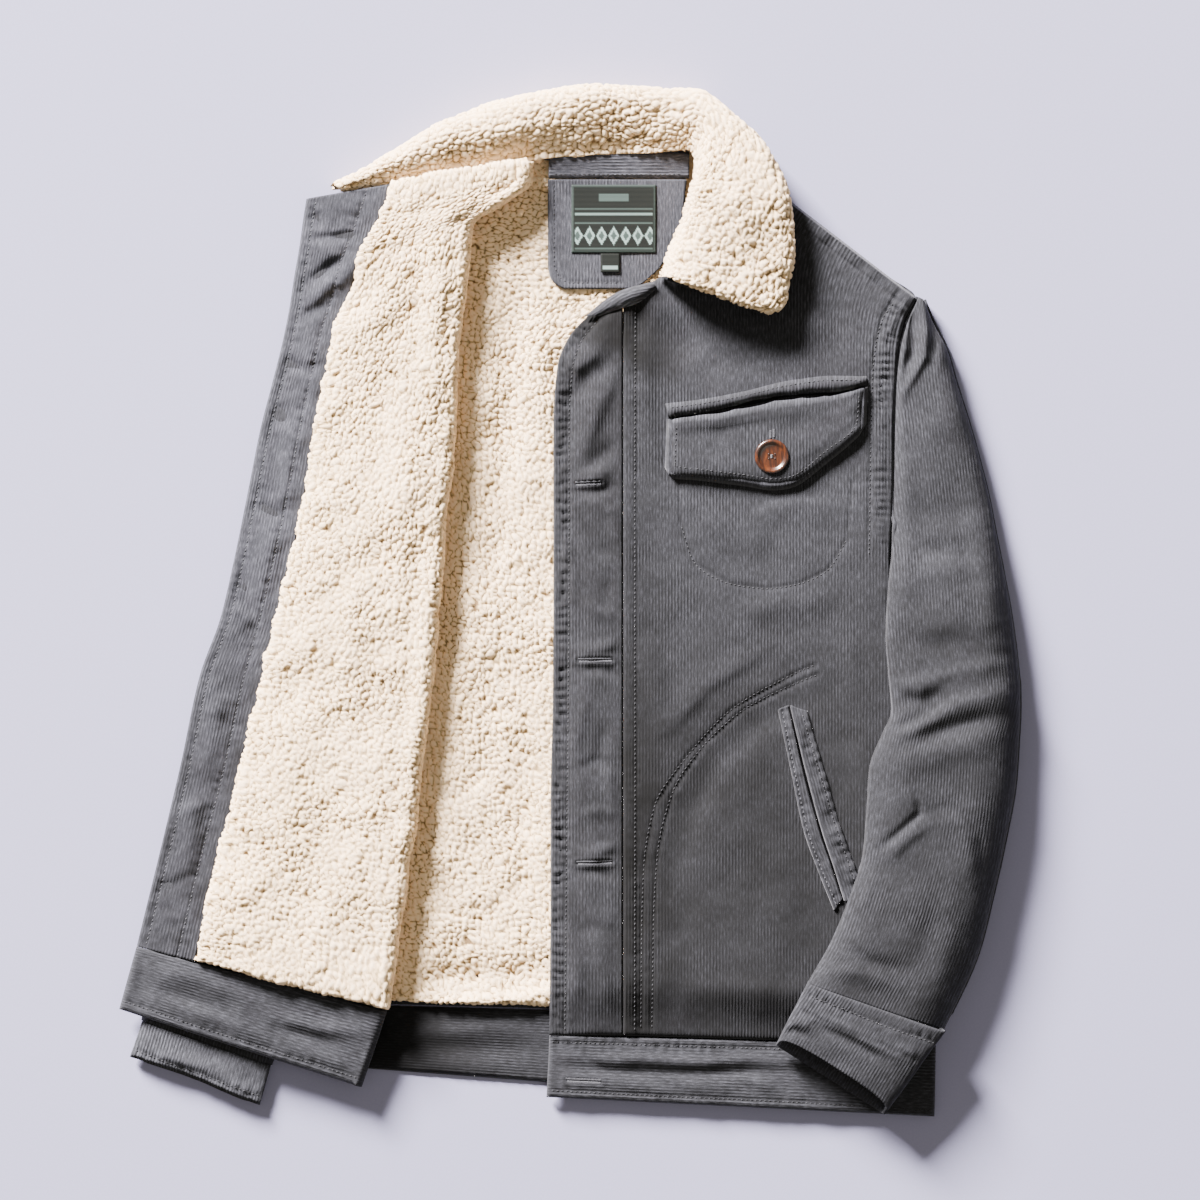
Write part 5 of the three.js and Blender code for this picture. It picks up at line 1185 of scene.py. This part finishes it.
SLEEVE_FOLDS = [
    (2.0, 6, 10, [(229, -60), (246, -58), (262, -55), (272, -52), (284, -48), (304, -44), (323, -44)]),
    (-3.2, 6, 7, [(222, -63), (238, -68), (253, -70), (263, -65), (270, -58)]),
    (-2.6, 4.5, 5.5, [(269, -71), (256, -79), (245, -85), (229, -90)]),
    (2.4, 5, 9, [(226, -98), (245, -90), (262, -80), (280, -71), (310, -64)]),
    (-2.6, 6, 8, [(240, -99), (262, -92), (290, -84), (312, -80)]),
    (2.2, 9, 12, [(226, -116), (263, -106), (302, -96)]),
    (-2.2, 1.8, 3.4, [(249, -136), (251, -150), (240, -160), (222, -176)]),
    (1.6, 4, 5, [(256, -158), (243, -167), (228, -182)]),
    (-0.6, 3, 4.5, [(252, -151), (268, -145), (284, -152), (294, -166), (298, -200)]),
    (1.2, 6, 6, [(262, -156), (276, -154), (286, -170), (290, -200)]),
    (2.4, 16, 16, [(256, 150), (262, 60)]), (2.0, 18, 18, [(262, 40), (270, -30)]),
    (1.6, 22, 24, [(250, -190), (232, -260)]),
    (-3.6, 5, 4.5, [(242, 217), (247, 200), (247, 182), (240, 162)]),
    (2.6, 3, 5, [(253, 217), (256, 198), (255, 178), (246, 162), (238, 148)]),
    (-1.8, 3, 4, [(260, 208), (263, 192), (262, 174)]),
    (1.8, 8, 8, [(240, 120), (244, 60), (240, 10)]), (-1.8, 8, 8, [(280, 60), (292, 0)]),
    (1.8, 8, 10, [(296, 20), (306, -26)]),
    (2.0, 6, 8, [(216, -190), (206, -220)]), (-0.8, 8, 8, [(262, -220), (250, -262)]),
    (0.9, 8, 8, [(276, -230), (262, -276)]),
    (-1.2, 8, 10, [(232, -20), (254, -30), (282, -28)]), (-1.8, 8, 8, [(236, 60), (252, 40), (280, 36)]), 
    (1.6, 5, 6, [(180, -262), (206, -264), (236, -276)]), (-1.6, 5, 5, [(196, -244), (214, -256), (240, -262)]),
]
body_trees = trees_of(front_left, waistband_left, waistband_back, inner_strip, outer_strip)
p = cut(LEFT_SLEEVE, 1.8)
x, y = p["x"], p["y"]
inner, crown, outer, beside = p["more"]
u = p["u"]
edge = np.minimum(u, 1 - u)
rim_z = np.where(u < 0.5, inner - 5, outer)
bend = quarter(edge / np.where(u < 0.5, mix(0.26, 0.13, beside), 0.34))
z = mix(rim_z, crown, bend) + folds(x, y, SLEEVE_FOLDS) * ease(edge * 7)
z += (0.9 * noise(x, y, 30, 101) + 0.25 * noise(x, y, 11, 102)) * ease(edge * 8)
rests = tops(body_trees, x, y, 0.0)
z = np.maximum(z, np.where(rests > 1, rests + 4.4, np.where(u < 0.5, inner - 6, outer - 2)))
sleeve_seam = [(mix(a[0], a[2], 0.93), mix(a[1], a[3], 0.93)) for a in LEFT_SLEEVE[3:]]
z += seam(x, y, sleeve_seam, 0.5, 0.12, 9, 5, 103)
d, q, _, _ = near(x, y, sleeve_seam)
# Beside real seam wear: painted shade darkens the inner edge of the upper arm beside the body, painted light
# brightens the outer side of the forearm, and the sleeve is paler towards the shoulder and darker towards the cuff.
worn = 0.08 * bell(d - 3, 2) - 0.12 * bell(d, 1.4) + 0.04 * noise(x, y, 10,
                                                                  104) + 0.14 * ease((y
                                                                                      - 60) / 80) - 0.06 - 0.2 * ease((40 - y) / 80)
worn = worn - 0.15 * falloff(p["left"], 2) * (y > 40) + 0.4 * ease((u - 0.7) / 0.2) * ease((-90 - y) / 60)
sleeve_uv = ((u - 0.5) * p["width"], p["above"])
sleeve_top = wall("sleeve_left_top_cloth", np.stack([x, y, z], 2), CORD_WALL, sleeve_uv, grey_corduroy, worn=worn)
sew(sleeve_top, "sleeve_left_top", flat=(0.15, 0.56), held="laid", on=["front_left_cloth"], area=0.05)
q = cut(LEFT_SLEEVE, 5)
edge = np.minimum(q["u"], 1 - q["u"])
rests = np.where(q["more"][3] > 0.9, 0.0, np.maximum(tops(body_trees, q["x"], q["y"], 0.0),
                                                     tops(body_trees, q["x"] - 6, q["y"], 0.0)))
crown = np.where(q["u"] < 0.5, mix(q["more"][0] - 5, q["more"][0], ease(q["more"][3] * 2 - 0.5)), q["more"][2])
z = np.maximum(np.minimum(mix(crown - 1.0, crown - 6, quarter(edge * 6)), crown - 1.0), rests + 3.2)
z = np.where(rests > 1, np.minimum(z, np.maximum(crown - 0.8, rests + 2.4)), z)
z = np.where((rests < 1) & (edge > 0.12), np.minimum(z, 2.2 + 2 * (0.5 - edge)), z)
z = np.minimum(z, mix(99, rests + 2.4, (rests > 1) & (edge > 0.1)))
under = wall("sleeve_left_under_cloth", np.stack([q["x"], q["y"], z], 2), 1.8,
             ((q["u"] - 0.5) * q["width"], q["above"]),
             grey_corduroy, stride=1, worn=0 * z)
sew(under, "sleeve_left_under", flat=(0.14, 0.56), on=["front_left_cloth", "floor"], area=0.05)

# Left cuff. A doubled ring of corduroy at the end of the sleeve, with its mouth open towards the hem.
CUFF_LEFT = [
    (170.4, -271.8, 269.6, -306.5, 18.9, 35.4, 0), (161, -290, 255, -326, 18.9, 35, 0.5),
    (154, -304, 242, -345, 14.5, 34, 3), (148, -317, 226, -367, 10.6, 32, 10),
]
x, y, z, across, along, s = tube(CUFF_LEFT, 1.8, 144)
upper = clamp(s * 3)
z = z + upper * (folds(x, y, [
    (2.2, 5, 7, [(178, -296), (201, -307), (216, -316), (228, -322)]),
    (-2.8, 3.5, 4.5, [(177, -301), (201, -312), (216, -321), (226, -327)]),
    (-1.8, 3, 4, [(154, -309), (161, -305), (171, -310)]), (1.6, 4, 4, [(157, -303), (164, -300), (173, -304)]),
    (1.2, 6, 6, [(232, -318), (250, -322)]),
    (1.0, 5, 6, [(190, -332), (206, -340)]),
]) + 0.35 * noise(x, y, 13, 111) + seam(x, y, [(172, -281), (220, -300), (262, -314)], 0.6, 0.8, 6.6, 4.4, 112)
                 + seam(x, y, [(165, -291), (212, -311), (252, -328)], 0.7, 0.3, 7, 3, 113))
z = z - 0.6 * rounding(along, 1.6)
cuff_left = wall("cuff_left_cloth", np.stack([x, y, z], 2), 2.6, (across, along), grey_corduroy, ring=True,
                 worn=0.06 * noise(x, y, 9, 113) + 0.1 * falloff(along.max() - along,
                                                                 4) * upper - 0.14 * falloff(along, 2))
sew(cuff_left, "cuff_left", flat=(0.2, 0.067), held="folded", on=["waistband_left_cloth"], area=0.0125)
stitches("stitching_left_cuff", [[(172, -281), (196, -290), (220, -300), (262, -315)]], trees_of(cuff_left))

# Collar. Sherpa outside, corduroy under it. At the neck it stands and folds down behind, and on the
# left side its leaf turns down over the shoulder to a point.
COLLAR = [
    (-163, 298.4, -170, 302, 13, 19, 2, 0), (-140, 301.6, -150, 313, 15, 22, 1, 0),
    (-112, 306.6, -120, 332, 17, 25, 0.4, 0),
    (-80, 313.4, -85, 349, 18, 27, 0.4, 0), (-45, 319, -48, 363, 18, 28, 0.4, 0),
    (-12, 323.5, -12, 370.5, 17, 28.5, 0.4, 0),
    (25, 326, 22, 373.5, 17, 29, 0.4, 0), (60, 327, 58, 371.5, 18, 30, 0.4, 0), (84, 327, 94, 369, 22, 32, 0.4, 0.2),
    (93, 319, 116, 353, 26, 35, 2, 0.6), (95, 308, 133, 337, 28, 37, 6, 0.9), (90, 296, 148, 315, 28, 38, 12, 1),
    (84, 282, 160, 286, 29, 38, 17, 1), (76, 264, 161, 255, 29, 37, 19, 1), (69, 248, 158, 230, 29, 36, 19.5, 1),
    (63, 235, 148, 204.5, 29, 34, 19.5, 1),
]


def collar_section(p):
    """Heights across the collar: a rise from the neck, a crown, and a round outer edge down to the base."""
    inner, top, outer, leaf = p["more"]
    width = p["width"]
    reach = np.minimum(11, width * 0.45)
    s = np.concatenate([0 * width, 0.08 * width, 0.26 * width, 0.5 * width, width - reach, width - 0.3 * reach, width,
                        width - 0.6], 1)
    z = np.concatenate([
        mix(inner, inner - 4, leaf), mix(inner + 0.6, top - 3.5, leaf), mix(mix(inner, top, 0.5), top, leaf),
        mix(mix(inner, top, 0.9), np.maximum(top - 1.5, 30.5), leaf), mix(top, np.maximum(top - 3.5, 29.5), leaf),
        mix(top - reach * 0.35, np.maximum(top - 6.5, 28.4), leaf),
        mix(top - reach, np.maximum(np.maximum(outer + 2, top - 10.5), 25.5), leaf), outer + 0 * leaf], 1)
    return s, z


PILE_COLLAR = np.array(COLLAR[:-1] + [(66.5, 242, 156.5, 217, 29, 35.5, 19.5, 1),
                                      (64.5, 238, 151, 209, 29, 35, 19.5, 1), (63, 235, 143, 207, 29, 34.4, 19.5, 1)],
                                      float)
PILE_COLLAR[4:8, 1] -= 2.5
PILE_COLLAR[8:, 0] -= np.array([0, 4.5, 7, 5, 3, 1, 0, 0, 0, 0])
PILE_COLLAR[:4, 1] -= 1.5
PILE_COLLAR[8:, 5] += np.array([1, 2.5, 4.5, 5.5, 6, 6.5, 7, 7, 7, 7])
PILE_COLLAR[8:, 6] += np.array([0, 1, 3, 6, 8, 9, 10, 11, 11, 11])
p = cut(PILE_COLLAR, 1.15, [0, 1])
ks, kz = collar_section(p)
lx, ly, dx, dy = sides(p)
columns, s, z = 96, [], []
for srow, zrow in zip(ks, kz):
    at = np.concatenate([[0], np.cumsum(np.hypot(np.diff(srow), np.diff(zrow)))])
    fine = flow(at, np.stack([srow, zrow], 1), np.linspace(0, at[-1], columns + 1))
    for _ in range(6):
        fine[1:-1] = (fine[:-2] + 2 * fine[1:-1] + fine[2:]) / 4
    s.append(fine[:, 0])
    z.append(fine[:, 1])
s, z = np.array(s), np.array(z)
path = np.concatenate([np.zeros((len(s), 1)), np.cumsum(np.hypot(np.diff(s, axis=1), np.diff(z, axis=1)), 1)], 1)
along = p["above"][:, :1] + 0 * path
x, y = lx + dx * s, ly + dy * s
z = z + 1.2 * noise(x, y, 34, 121) + 2.4 * folds(x, y, [
    (0.8, 10, 10, [(-90, 330), (-40, 342), (0, 350)]), (-0.7, 8, 8, [(20, 344), (70, 346)]),
    (0.9, 9, 9, [(110, 300), (130, 262)])])
ends = quarter(np.minimum(p["above"][:, :1], p["below"][:, :1]) / 6)
z = z - 3.5 * (1 - ends) * (z > 16)
collar = pile_wall("collar_sherpa", np.stack([x, y, z], 2), (path, along * 0.92), 4.2, 3, depth=2.6)
sew(collar, "collar_upper", slot="sherpa", flat=(0.5, 0.09), held="folded", on=["front_left_cloth", "floor"],
    area=0.036)
p = cut(COLLAR, 4, np.linspace(0, 1, 13))
inner, top, outer, leaf = p["more"]
base = tops(trees_of(front_left, back_shell), p["x"], p["y"], 0.2)
base = np.where(leaf > 0.5, np.maximum(base, 0.4), 0.4)
roof = mix(mix(inner, top, 0.7), np.maximum(top - 8, 29.5), leaf) - 7.2
z = np.maximum(roof - 2.5 * (2 * p["u"] - 1) ** 2 * (1 - leaf), base + 1.8)
s = mix(7.2, p["width"] - 7.6, p["u"])
lx, ly, dx, dy = sides(p)
x, y = lx + dx * s, ly + dy * s
under_collar = wall("undercollar_cloth", np.stack([x, y, z], 2), 1.6, (p["above"], s), grey_corduroy, stride=1,
                    worn=0 * z)
sew(under_collar, "undercollar", flat=(0.5, 0.045), held="folded", on=["front_left_cloth", "floor"], area=0.015)

# Studio. A plain pale floor, one broad soft light from the upper left, a weak fill and a pale sky. The
# camera looks straight down on the jacket.
floor_mesh = bpy.data.meshes.new("floor")
floor_mesh.from_pydata([(-4, -4, 0), (4, -4, 0), (4, 4, 0), (-4, 4, 0)], [], [(0, 1, 2, 3)])
floor = bpy.data.objects.new("floor", floor_mesh)
bpy.context.scene.collection.objects.link(floor)
floor.location.z = -0.0004
paper, tree = new_material("paper_backdrop_lavender")
place = node(tree, "ShaderNodeTexCoord").outputs["Object"]
tooth = node(tree, "ShaderNodeTexNoise", {"Vector": place, "Scale": 700, "Detail": 2}).outputs["Fac"]
finish_material(tree, Base_Color=ramp(tree, tooth, (0.2, "8484a0"), (0.8, "8989a5")), Roughness=0.95)
floor_mesh.materials.append(paper)


def lamp(name, place, target, power, size, tint):
    light = bpy.data.lights.new(name, "AREA")
    light.energy, light.size, light.color = power, size, srgb(tint)[:3]
    made = bpy.data.objects.new(name, light)
    made.location = place
    made.rotation_euler = (Vector(target) - Vector(place)).to_track_quat("-Z", "Y").to_euler()
    bpy.context.scene.collection.objects.link(made)


lamp("key", (-4.63, 6.87, 3.52), (0, 0, 0), 13300, 2.4, "fff8f5")
lamp("fill", (1.2, -0.8, 2.8), (0, 0, 0), 16, 2.2, "fbf7ec")
world = bpy.data.worlds.new("studio")
world.use_nodes = True
world.node_tree.nodes["Background"].inputs["Color"].default_value = srgb("f2e9d6")
world.node_tree.nodes["Background"].inputs["Strength"].default_value = 0.46
bpy.context.scene.world = world
camera_data = bpy.data.cameras.new("overhead")
camera_data.lens, camera_data.sensor_width, camera_data.clip_end = 135, 36, 50
camera = bpy.data.objects.new("overhead", camera_data)
camera.location = (0.0216, 0.0013, 0.864 * 135 / 36 + 0.015)
bpy.context.scene.collection.objects.link(camera)
bpy.context.scene.camera = camera
